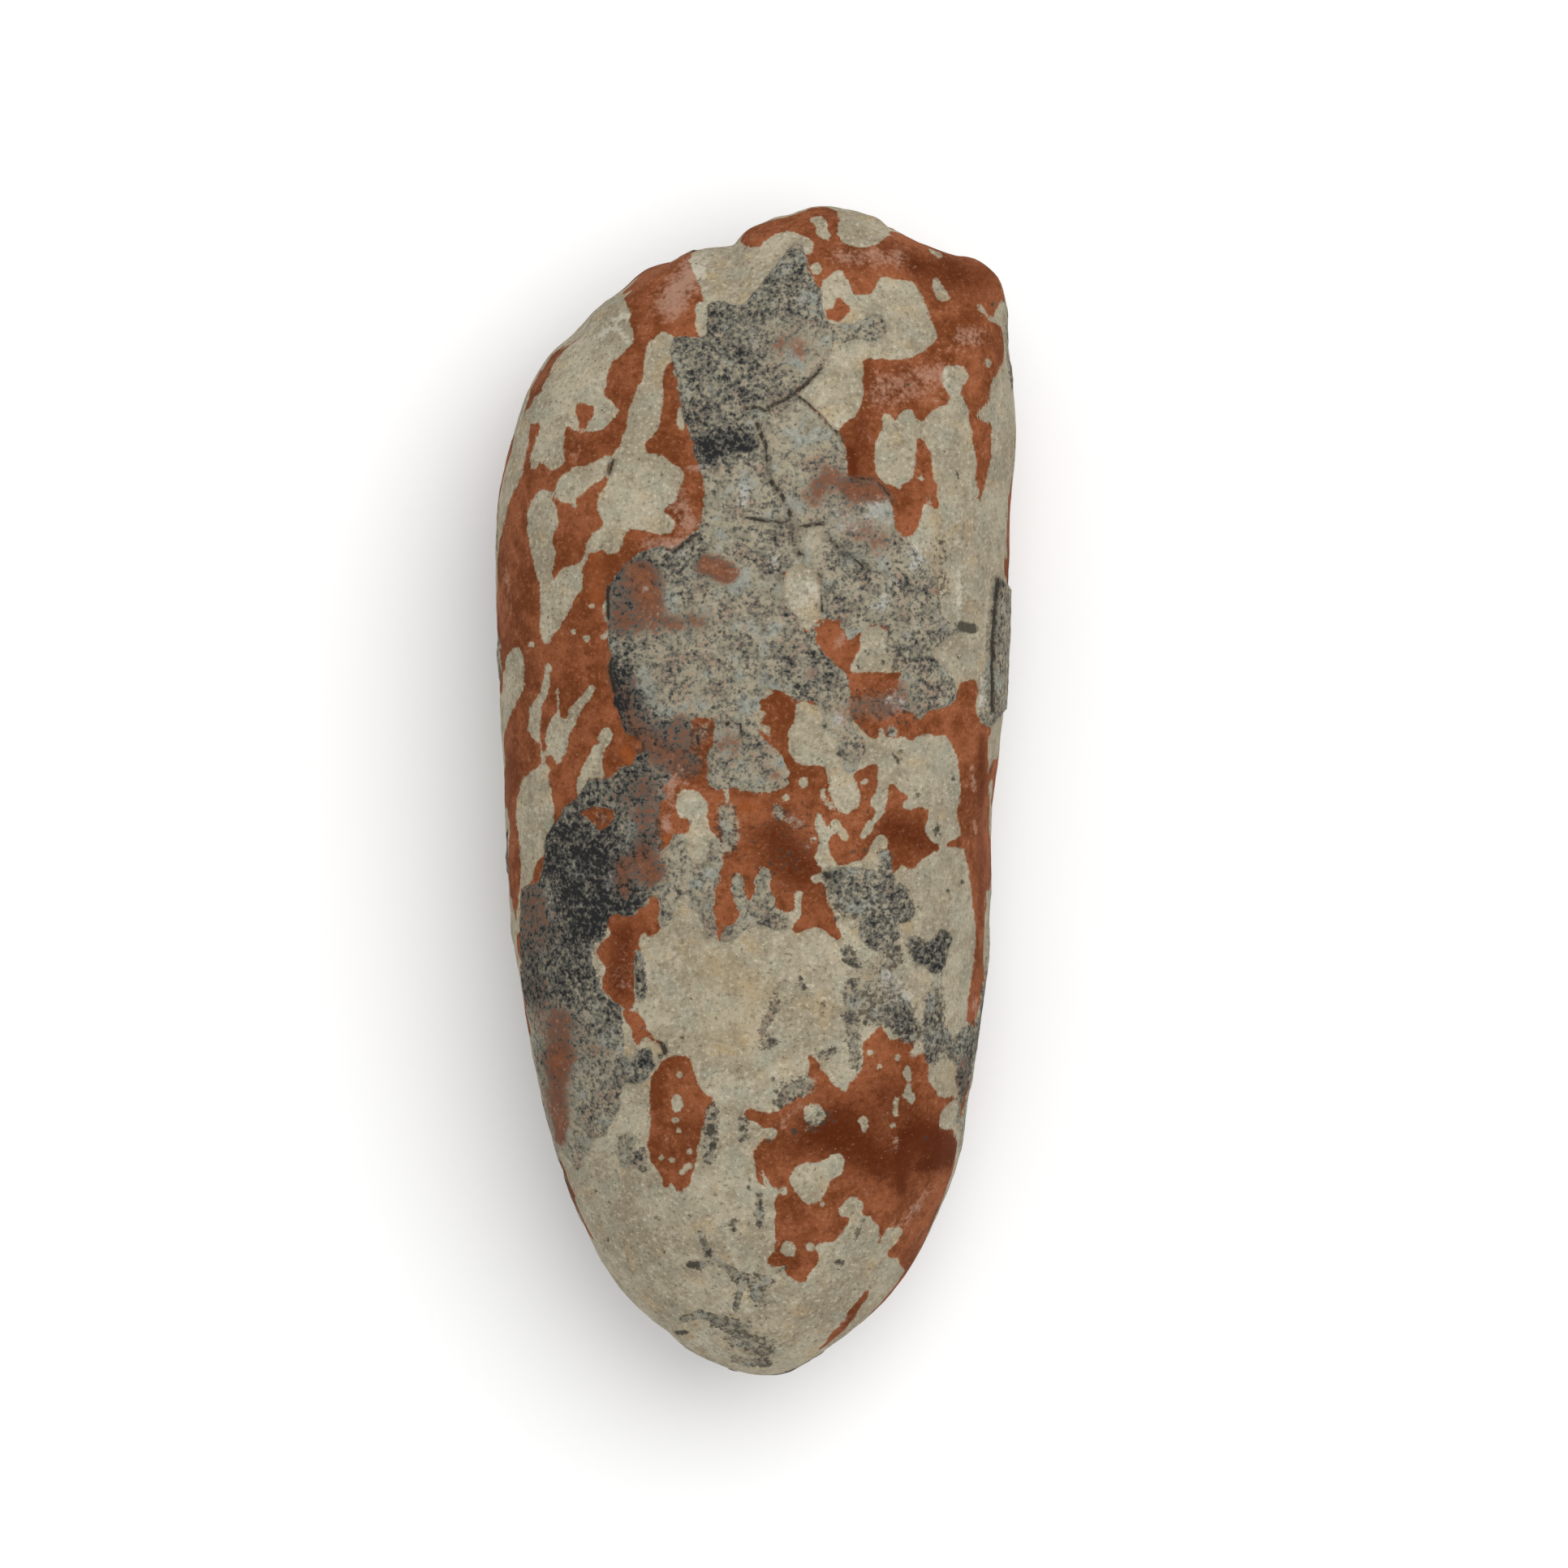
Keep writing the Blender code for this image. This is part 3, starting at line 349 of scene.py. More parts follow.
# Red siltstone that lies inside the cream.
RED_PATCHES = [
    [(-26.9, 57.9), (-26, 58.25), (-24.3, 57.7), (-24.4, 56.4), (-25, 55.3),
     (-25.8, 54.2), (-26.6, 55.3), (-26.9, 56.6)],
    [(12, 74), (12.9, 74), (13.4, 73.1), (14.2, 72.3), (13.95, 71.6), (12.9, 70.5),
     (11.6, 70.4), (10.5, 71.2), (10.3, 72.05), (11.6, 72.5)],
    [(-21.6, -18.7), (-20, -18.5), (-18.5, -18.6), (-17.7, -17.8), (-16.5, -16.8),
     (-15.8, -15.5), (-14.9, -17), (-14.4, -18), (-14.6, -19.5), (-14.2, -20.6),
     (-14.8, -21.3), (-16, -21.8), (-17, -21.2), (-17.5, -22), (-17.4, -23.2),
     (-17.1, -24.3), (-17.7, -25.3), (-18.1, -26.5), (-18.2, -29), (-18.3, -30),
     (-18.1, -31.3), (-18.4, -32.2), (-19.1, -32.7), (-19.5, -32.6), (-20.8, -31.8),
     (-21.7, -31), (-22.5, -30.2), (-23, -29.4), (-23.1, -28.2), (-22.7, -27.3),
     (-22.5, -26.2), (-23.3, -25.5), (-23.8, -24.5), (-23.7, -23.3), (-23, -22.3),
     (-21.8, -21.5), (-22.2, -20.3)],
    [(-19.8, -32.8), (-18.6, -33), (-17.8, -33), (-17.1, -33.6), (-16.7, -34.6),
     (-16.3, -35.6), (-15.7, -36.3), (-15, -37), (-14.2, -37.8), (-15.7, -37.2),
     (-16.6, -37.1), (-17.1, -37.5), (-17.5, -37.9), (-18.2, -37.4), (-18.5, -36.4),
     (-18.9, -35.4), (-19.5, -34.4), (-19.9, -33.5)],
    [(-13.5, -40.2), (-12.8, -39.7), (-11.5, -39.6), (-10.3, -39.7), (-9.8, -40.3),
     (-9.5, -41.3), (-9.1, -42.5), (-8.6, -43.7), (-8.1, -44.7), (-7.5, -45.4),
     (-6.8, -45.9), (-6.4, -46.3), (-6.5, -47.5), (-7, -48.5), (-7.5, -49.5),
     (-7.9, -50.7), (-8.3, -52), (-8.7, -53.5), (-8.8, -55), (-9.2, -56.5),
     (-9.6, -57.7), (-10.2, -59.2), (-11, -59.8), (-11.7, -60.1), (-12.1, -59.5),
     (-12.4, -58.9), (-12.9, -58.6), (-13.3, -59.2), (-13.8, -59), (-14.2, -58),
     (-14.7, -56.9), (-15.2, -56), (-15.7, -55), (-16.1, -53.8), (-16.2, -52.5),
     (-15.9, -51), (-15.8, -49.5), (-15.8, -48), (-15.9, -46.5), (-15.9, -45),
     (-15.8, -43.8), (-15.5, -42.8), (-15, -42), (-14.3, -41)],
    # The large red field of the lower right, out over the rim.
    [(8.1, -39.6), (8.6, -39.9), (9.3, -40.5), (10, -41.6), (10.8, -42.4), (11.3, -43.4),
     (12, -44), (12.8, -44.8), (13.4, -45), (13.9, -44.3), (14.2, -43.4), (15, -42.8),
     (15.8, -42), (16, -40.5), (16.1, -39), (16.2, -37.8), (17, -36.9), (17.9, -36),
     (18.5, -35.3), (19, -35.5), (19.4, -36.4), (20.1, -37), (20.3, -37.3), (21.2, -37),
     (22.2, -36.6), (22.8, -35.8), (23.5, -35.9), (23.8, -37), (23.8, -38.2),
     (24, -39.3), (25, -39.5), (25.8, -39.5), (26, -40.8), (25.9, -42), (25.7, -43.2),
     (26.3, -44), (27, -44.9), (27.7, -45.8), (28.4, -46), (29.9, -45.8), (29.3, -46.6),
     (28.5, -47.4), (27.7, -48.3), (27.5, -49.5), (28, -50.6), (28.7, -50.7),
     (29.3, -50.6), (29.9, -51.5), (30.2, -52.3), (36, -53), (34, -62), (28, -71),
     (22.8, -71.6), (21.9, -71.2), (21.2, -69.9), (20.5, -70), (19.9, -69.8), (19.7, -69),
     (20.3, -68.2), (21.1, -67.6), (21.6, -66.9), (22, -66.1), (21.8, -65.5),
     (21, -65.3), (20.2, -65.5), (19.4, -66), (18.9, -67), (18.5, -68), (18.5, -65.3),
     (18, -64.7), (17.4, -63.9), (16.6, -63.6), (15.9, -63.5), (16, -62.8),
     (15.9, -61.8), (15.3, -61), (14.4, -60.8), (13.5, -61.4), (12.9, -62.2),
     (12.6, -63.2), (13, -63.8), (13.6, -63.9), (14.1, -64.2), (13.9, -64.8),
     (13.3, -65.6), (12.6, -66.5), (11.9, -67.3), (11.2, -67.5), (10.2, -67.6),
     (9.4, -67.9), (9, -68.6), (9.2, -69.4), (9.4, -70.2), (9.1, -71), (8.4, -71.8),
     (7.9, -72.5), (7.5, -73.4), (6.6, -73.7), (5.7, -73.3), (4.9, -72.7), (4.2, -72),
     (3.5, -71.5), (2.7, -71.2), (1.9, -70.7), (1.9, -70), (2.4, -69.3), (2.9, -68.5),
     (3, -67.5), (2.9, -66), (2.9, -64.5), (2.9, -63), (2.9, -61.5), (3.3, -60.8),
     (3.6, -60.2), (3.3, -59.7), (2.4, -59.5), (1.3, -59.3), (0.6, -58.8), (0.3, -58),
     (0.1, -57), (-0.2, -56), (-0.3, -54.5), (0, -53.5), (0.5, -53.1), (1.3, -52),
     (0.9, -51.8), (1, -50.7), (0.4, -50), (-0.2, -49.5), (-1, -49.2), (-1.7, -48.7),
     (-1.7, -47.9), (-1.2, -47.5), (-0.5, -47.6), (0.3, -48), (1.5, -48.2), (2.5, -48),
     (3.6, -47.9), (4, -47), (4.4, -46.1), (5, -45.7), (5.8, -45.3), (6.5, -45.4),
     (7.2, -45.8), (8.1, -45), (8.1, -43.8), (7.9, -42.5), (8.1, -41.5), (8, -40.5)],
    [(16.9, -74.8), (16.9, -75.3), (16.4, -76.3), (15.7, -77.4), (15.2, -78.5),
     (14.4, -79.5), (13.2, -80.7), (12.3, -81.8), (11.5, -82.7), (10.5, -83.6),
     (9.5, -83.9), (10.3, -82.6), (11.2, -81.3), (12.3, -80.3), (13.4, -79), (14, -78),
     (14.9, -76.7), (15.7, -75.8), (16.4, -75.1)],
]

# Cream again, inside that red.
CREAM_SPOTS = [
    [(12.3, -54.1), (13.1, -54.7), (13.4, -55.6), (13.2, -56.7), (12.8, -57.6),
     (12, -57.9), (11.4, -58.4), (10.9, -59.5), (10.3, -60.4), (9.6, -61.3),
     (8.8, -61.8), (8, -61.9), (7.2, -61.5), (6.4, -60.8), (5.8, -60), (5.3, -59),
     (5.2, -58), (5.5, -57.2), (6.1, -56.4), (7, -55.9), (7.9, -55.6), (9, -55.7),
     (10, -55.6), (10.7, -54.9), (11.4, -54.3)],
    [(28.3, -42), (29.5, -41.8), (30.2, -43), (30.2, -44.2), (29.5, -45), (28.9, -45.8),
     (28.1, -45.9), (27.5, -45), (27.7, -43.8)],
    [(29.7, -46.6), (30, -47.8), (29.9, -49), (29.3, -50.2), (28.4, -50.5),
     (27.8, -49.8), (27.8, -48.5), (28.5, -47.5)],
    [(22.2, -41.5), (23, -41.3), (23.4, -43), (23.2, -44.5), (23.8, -45.5),
     (23.7, -46.8), (22.8, -46.5), (22.1, -45.5), (22.7, -44), (22.3, -42.8)],
]

# Cream on red: dots at x, y and streaks from x, y to x, y, with their half width.
CREAM_DOTS = [
    (9.1, 78.4, 0.8), (-33.6, 22, 0.45), (-27.4, 23.9, 0.4), (-25.3, 22.9, 0.55),
    (-24.6, 27.7, 0.4), (-22.3, 28.4, -22.7, 26.8, 0.35), (-22.7, 26, -21.9, 25.6, 0.4),
    (-22.8, 23.2, -22, 24, 0.4), (24.8, 47, 0.5), (21.5, 45.8, 0.5), (26, 44, 0.45),
    (34.7, 64.2, 0.6), (7.1, 1.3, 0.75), (16.3, 1.5, 0.5), (4.6, -0.9, 0.6),
    (10.1, -1, 11.2, -2.4, 0.4), (10.1, 0, 0.45), (8.2, -7.6, 9, -7, 0.35),
    (-4.6, 1, -4.3, -1.3, 0.4), (-11.8, -46.3, -11.8, -47.5, 0.8), (-11.5, -42.6, 0.5),
    (-12, -49.3, 0.45), (-11.5, -50.8, 0.45), (-14.2, -55, 0.45), (-12.6, -55.3, 0.4),
    (-11.2, -57.2, -9.9, -56.2, 0.4), (-10, -54, 0.4), (1.7, -51.3, 2.3, -51.3, 0.85),
    (8.8, -48.4, 1.6), (4.9, -68.5, 1.1), (8.2, -68.3, 0.7), (4.2, -60, 0.55),
    (10, -62, 0.45), (16.1, -49.3, 16.4, -50.4, 0.65), (21, -46.4, 21, -48.6, 0.4),
    (20.6, -50, 0.5), (21.3, -40, 0.45), (17.1, -39.1, 17.6, -39.1, 0.4),
    (18.6, -41.3, 0.4), (23.7, -39.4, 0.5), (1, -57.2, 1.9, -59.2, 0.35),
]

# Shell that stands proud of the stone.
SHELL_PLATES = [
    # The crown, from the broken end to the middle.
    [(5.7, 81.8), (4.1, 80), (2.9, 78.3), (1.8, 77), (0.7, 75.5), (-0.6, 74.1),
     (-1.9, 72.9), (-3.6, 72.9), (-5.1, 73.35), (-6.9, 72.9), (-7.1, 71.2), (-7.2, 69.2),
     (-7.7, 68.1), (-8.9, 67.8), (-11, 67.9), (-12.3, 67.7), (-12.6, 66.4), (-12.5, 64.9),
     (-12.05, 63.4), (-11.7, 61.6), (-11.4, 60), (-10.8, 57), (-10.6, 55.5), (-10, 54.3),
     (-9.5, 53), (-9.2, 51.5), (-8.8, 50), (-8.4, 48.5), (-7.8, 46.8), (-7.6, 45),
     (-7.7, 43), (-7.8, 41), (-8.5, 39.5), (-9.7, 38.2), (-11, 37.2), (-12.8, 36),
     (-14, 36.6), (-17.5, 35.5), (-20.3, 33), (-21, 32), (-21.8, 30.5), (-22, 28),
     (-22, 26), (-21.9, 24.5), (-21.9, 22), (-21.5, 21), (-21.4, 20), (-21.7, 18.2),
     (-21.2, 16.5), (-21, 15), (-21, 13.5), (-20.4, 12.2), (-20.1, 11), (-19.8, 10),
     (-19.3, 9), (-18, 8.3), (-17, 7.5), (-16.4, 6.3), (-15.5, 4.8), (-13.6, 4.6),
     (-12, 6.2), (-10.3, 6.5), (-9.8, 8), (-9.7, 9.5), (-9.6, 11), (-8.3, 11.3),
     (-6.8, 10.9), (-6.1, 10), (-6, 9), (-6.1, 7.8), (-6.4, 6.8), (-7, 5.8), (-7.2, 5),
     (-6.8, 4), (-7, 3), (-7.3, 2), (-6.8, 1.2), (-5.4, 0.4), (-3.5, 0.6), (-1.5, 0.2),
     (0.5, -0.1), (2.5, 0.2), (4.6, 0.8), (4.7, 2), (4.8, 3), (4.4, 4), (4, 5), (3, 6.3),
     (1.9, 7), (1.2, 7.6), (0.7, 8.3), (0.3, 9.3), (0, 10.2), (-0.4, 11), (-0.3, 11.6),
     (0.3, 12.6), (0.5, 13.7), (0.9, 14.7), (1.6, 15.5), (2.3, 15.7), (3.2, 15.4),
     (4.3, 14.8), (5.3, 14.3), (6, 13.8), (8, 13.8), (9.8, 12.7), (10.4, 11.8),
     (10, 10.3), (10.4, 9.5), (11.5, 8.9), (12.4, 8.4), (12.2, 7.2), (12.2, 5.8),
     (12.9, 5.2), (13.2, 4.3), (12.7, 3.3), (13.8, 3), (14.8, 3), (15.2, 4), (15.8, 5),
     (16.3, 6), (16.3, 7.2), (15.5, 8.2), (14.6, 9.4), (14.2, 11), (14.1, 13.5),
     (13.9, 16), (13.6, 17), (12.8, 18), (12, 18.9), (11, 19.8), (10.2, 20.5),
     (9.3, 21.5), (9, 22.8), (8.9, 24), (9.2, 25), (10.2, 25.6), (11, 25.9), (12.3, 26),
     (12.9, 25.2), (13, 24.5), (13.3, 23.8), (13.9, 22.8), (14.6, 23.6), (15.9, 24.2),
     (17, 24.8), (18.5, 24.8), (19.8, 24), (19.7, 21.8), (21, 20.6), (22, 19.9),
     (22.3, 19), (22.2, 18), (21.8, 17.2), (21.6, 16), (21.2, 14.5), (22, 12.5),
     (23.5, 11.8), (24.5, 11), (25.3, 11.7), (26, 12.2), (27, 12.5), (28.5, 12.9),
     (29.4, 13.4), (29.9, 14.3), (29.8, 15.5), (29.6, 16.7), (28.7, 17.5), (28.2, 18.5),
     (27.7, 19.5), (26.6, 20), (26.2, 20.8), (26.6, 21.6), (27.6, 22), (28.3, 23),
     (29, 23.6), (30.4, 24), (30.6, 24.6), (29.5, 25.3), (27.9, 26.2), (27.6, 28),
     (27.2, 30), (27, 32), (26, 34), (24, 36), (22.3, 37.8), (20.8, 39.5), (20.5, 42),
     (19.5, 44.7), (18, 46.4), (14.1, 46.8), (13.5, 49.5), (12.9, 52.5), (12, 53.8),
     (10.5, 55.3), (9.6, 56.4), (8.6, 57.3), (7.5, 58.4), (6.3, 60), (7.67, 61),
     (8.75, 62.3), (10.05, 63.8), (10.9, 65.5), (11.8, 67.5), (12.9, 67.1),
     (13.95, 67.7), (15.7, 67.9), (16.8, 67.2), (17.9, 67.5), (19.15, 68.4),
     (19.4, 70.3), (17.9, 71.6), (15.9, 70.5), (14, 69.9), (11.35, 69.9), (10.3, 71.2),
     (9.95, 72.5), (9.95, 74), (9.3, 75.5), (8.5, 76.8), (7.67, 78.6), (7.3, 80.5),
     (7, 81.6), (6.25, 82)],
    # The left flank, with the finger left of the middle and the spikes below it.
    [(-24.8, 1.7), (-25.4, 0.7), (-26, -0.3), (-26.6, -1), (-27.4, -1.7), (-28.2, -2.2),
     (-28.8, -3.2), (-29.3, -4.1), (-30, -5), (-30.5, -5.9), (-31.1, -6.7), (-31.4, -7.8),
     (-31.4, -9), (-31.5, -10.5), (-31.7, -11.8), (-32.1, -13), (-32.8, -14),
     (-34, -14.1), (-34.8, -14.7), (-35, -16), (-35, -18), (-35.1, -20), (-35.1, -22),
     (-35.3, -24), (-35.5, -26), (-40, -27), (-40, -45), (-33, -54), (-29.3, -53.5),
     (-28.2, -54.6), (-27.4, -55.6), (-26.5, -56.8), (-26, -56), (-25.4, -54.4),
     (-24.8, -53.2), (-24.3, -51.8), (-23, -51.8), (-22.2, -51), (-21.8, -49.8),
     (-21, -48.8), (-20.4, -47.7), (-20.3, -46.5), (-20.3, -45), (-20, -43.9),
     (-19, -43.5), (-18, -43.8), (-17, -43.4), (-16.1, -42.8), (-15.7, -42),
     (-15, -41.3), (-15.1, -40.5), (-15.6, -39.5), (-16.1, -38.7), (-16.9, -38.6),
     (-17.6, -39.3), (-18.4, -40), (-19.5, -39.8), (-19.9, -39.3), (-19.9, -38),
     (-20, -36.5), (-20.1, -35), (-20.5, -34), (-20.3, -33.5), (-20.4, -32.2),
     (-21.2, -31.7), (-21.9, -31), (-22.6, -30.3), (-23.2, -29.5), (-23.4, -28.4),
     (-24, -27), (-24.7, -25), (-24.3, -22.8), (-23.5, -22.3), (-22.6, -21),
     (-22, -19.8), (-21.6, -18.7), (-20, -18.5), (-18.5, -18.6), (-17.7, -17.8),
     (-16.5, -16.8), (-15.8, -15.5), (-14.4, -16), (-14.2, -17), (-14.2, -20),
     (-13.3, -20.2), (-12.6, -19), (-12.2, -17), (-10, -15.3), (-9.7, -17.6),
     (-8.5, -18), (-7.8, -19.5), (-7.7, -20.8), (-7, -21.8), (-6.2, -21.6), (-6, -20.5),
     (-6.2, -19.5), (-6.4, -18.5), (-6.5, -17.5), (-6.4, -16.5), (-6.2, -15.3),
     (-5.7, -14), (-5.5, -12.5), (-5.2, -11), (-5, -9.7), (-5.1, -8.5), (-5.7, -7.3),
     (-7, -7), (-8.5, -6.2), (-10.5, -6.8), (-12, -6.3), (-13, -8.6), (-14.6, -8.9),
     (-15.9, -7.6), (-15.2, -6.2), (-16, -4.8), (-14.9, -3.6), (-14.2, -2.6),
     (-14.6, -1.6), (-13.6, -0.8), (-13.9, 0.6), (-12.6, 1.8), (-12.9, 3), (-11.6, 4.2),
     (-12.2, 5.2), (-13.6, 5), (-16.5, 6), (-17.6, 5.3), (-18, 4.5), (-18.6, 3.8), (-20, 3.5),
     (-20.7, 2.6), (-22, 1.8)],
    [(-5, -22.6), (-4, -22.4), (-3, -21.9), (-2.2, -21), (-1.5, -20.6), (-0.7, -20.2),
     (0.3, -20.1), (4.8, -20.4), (4.6, -18.4), (3.2, -17.8), (2.7, -16.8), (2.5, -15.7),
     (2, -14.7), (2, -12), (1.5, -11.4), (0.8, -11.8), (0.3, -12.7), (0, -13.7),
     (-0.1, -15), (-0.5, -16), (-1, -16.5), (-1.6, -15.7), (-1.9, -14.5), (-2.1, -13),
     (-2.6, -12.3), (-3.1, -13), (-3.4, -14.5), (-3.2, -16), (-2.9, -17), (-2.3, -18),
     (-2.6, -19.2), (-3.5, -20), (-4.5, -20.6), (-5.2, -22)],
    # The flake that stands off the right rim, and the strip of shell further down it.
    FLAKE,
    [(31.9, -35.5), (30.8, -35.8), (30.1, -37), (30, -38.5), (29.8, -40), (30.3, -41.5),
     (30.2, -43), (30.5, -44.5), (30.6, -46), (30.3, -48), (30, -50), (30.6, -51.2),
     (35, -52), (36, -44), (36, -36)],
    # Scattered remains.
    [(10.5, -12.5), (11.5, -11.8), (13, -11.3), (14.8, -11.6), (16, -11.6),
     (17.8, -11.9), (18, -12.8), (18.6, -13.5), (19.3, -13.4), (20.3, -14.2),
     (22.2, -14.4), (22.6, -15.4), (22.7, -16.2), (22.2, -16.9), (23, -18),
     (22.6, -19.2), (21.6, -19.7), (20.9, -20), (21.3, -21.8), (20.6, -22.1),
     (19, -23.8), (16.5, -23), (15.6, -21.3), (15.5, -18.5), (13.2, -18), (12.3, -17),
     (12, -15), (10.9, -14)],
    [(22.7, -22.2), (23.8, -22), (25, -22.8), (26.5, -22.5), (27.2, -21.8),
     (27.5, -21), (28, -20.8), (28.7, -21.3), (29.2, -22.2), (29, -23), (28.5, -23.6),
     (28.6, -24.6), (28, -26), (27.6, -26.9), (26.9, -26.8), (26, -25.8), (25, -26),
     (24, -25.5), (23.6, -24.3), (23, -23.5)],
    [(-20, -51.7), (-18.4, -51.4), (-18, -52.5), (-18.2, -53.6), (-17.3, -54.2),
     (-16.4, -54.4), (-16.2, -55.5), (-16.7, -56.9), (-17.5, -56.6), (-18.2, -55.9),
     (-19.3, -55.9), (-20, -56.4), (-20.3, -55), (-20.3, -53.5)],
    [(-17.9, -24), (-17.2, -24.4), (-16.6, -26), (-16.4, -29), (-16.8, -31),
     (-17.8, -30.6), (-17.9, -28)],
]

# Gaps in the shell where the stone shows.
SHELL_GAPS = [
    LOZENGE,
    [(-26, -3.3), (-24.9, -2.5), (-23, -2.3), (-21.3, -2.5), (-20.7, -3.5), (-21.4, -4.7),
     (-22.4, -5.6), (-23.3, -6), (-24.1, -5.3), (-25.2, -4.4)],
    FINGER,
]

# How dark the shell is: place x, y, reach, and the share of dark grains.
SHELL_TONES = [
    (-8, 66, 4, 0.6), (-5, 64, 4, 0.7), (2, 77, 4, 0.65), (5, 74, 4, 0.6), (0, 70, 4, 0.6),
    (5, 67, 3, 0.3), (8, 64, 3, 0.3), (-2, 60, 4, 0.6), (-8, 57, 4, 0.6),
    (-7, 51.3, 1.6, 1.1), (-4.6, 51.7, 1.6, 1.15), (-2, 52.3, 1.4, 1.1), (-3, 47, 3, 0.42),
    (-5, 43, 3.5, 0.38), (4, 62, 3, 0.5), (5, 55, 4, 0.25), (8, 51, 3.5, 0.3),
    (11, 50, 2.5, 0.45), (11, 46, 2.5, 0.45), (7, 43, 3, 0.35), (-2, 40, 3.5, 0.35),
    (3, 38, 3, 0.55), (8, 37, 2.5, 0.1), (-5, 36, 3, 0.45), (14, 42, 3.5, 0.4),
    (16, 45.2, 2, 0.7), (17, 41, 3, 0.25), (20, 34, 4, 0.4), (24, 35, 3, 0.4),
    (-11, 35, 3, 0.6), (13, 35.3, 2, 0.65), (15.7, 33.7, 2, 0.65), (-20.5, 29, 2.2, 0.85),
    (-17, 31, 4, 0.65), (-20, 22, 2.5, 0.7), (-20, 13, 3, 1.3), (-20.5, 16, 2, 1.0),
    (-17, 11.5, 2.5, 0.8), (-15, 9.5, 2, 0.8), (-12, 25, 5, 0.42), (-12, 17, 5, 0.42),
    (-5, 25, 5, 0.38), (-5, 17, 5, 0.4), (2, 25, 4, 0.4), (0, 21, 2.5, 0.55),
    (-3, 12, 4, 0.45), (7.5, 14.8, 2, 0.75), (10, 19, 2, 0.7), (8.5, 17.5, 1.5, 0.5),
    (5, 18, 3, 0.5), (8, 12, 2.5, 0.3), (12, 10.7, 1.5, 0.25), (20, 28, 4, 0.4),
    (25, 30, 3, 0.5), (26, 22, 3, 0.55), (25, 16, 4, 0.5), (16, 29, 3, 0.4),
    (12, 30, 3, 0.45), (-27, -6, 5, 0.8), (-25, -14, 6, 0.9), (-24, -8.5, 2.6, 1.05),
    (-24.5, -13.5, 3, 1.15), (-27, -10, 2.5, 1.0), (-28, -21, 5, 0.8), (-32, -18, 4, 0.6),
    (-30, -27, 5, 0.83), (-22, -33, 4, 0.7), (-27, -35, 4, 0.5), (-22, -40, 4, 0.55),
    (-29, -40, 3, 0.6), (-24, -47, 5, 0.42), (-27, -53, 3, 0.4), (-17, -40, 2.5, 0.85),
    (-20, -3, 4, 0.7), (-17, 3, 3, 0.75), (-34, -35, 2, 0.3), (-9, -10, 4, 0.4),
    (-10, -15, 4, 0.42), (-2, -17, 4, 0.42), (2, -15, 3, 0.4), (2, 2, 3, 0.35),
    (-4, 5, 3, 0.5), (15, -15, 5, 0.6), (20, -18, 4, 0.66), (17, -22, 4, 0.6),
    (26, -24, 2.5, 0.8), (22, -35, 3, 0.75), (18, -30, 3, 0.5), (36.5, 22, 5, 0.5),
    (31, -43, 4, 0.75), (-18, -54, 3, 0.45), (13.5, 5, 3, 0.4), (-13, 5, 3, 0.65),
    (-15, -3, 2.5, 0.6), (-24.5, -19.5, 2.5, 1.3), (-27.5, -16, 2.5, 1.05),
    (-19, -9, 2.2, 0.9), (-19.5, -13.5, 2.2, 0.85), (-16.3, -12, 1.8, 0.5),
    (-17, -6, 2, 0.85), (-11, 9, 2, 0.75),
]

# Each list below holds soft dabs at x, y and strokes from x, y to x, y, as painted with a
# brush, with their reach and amount.

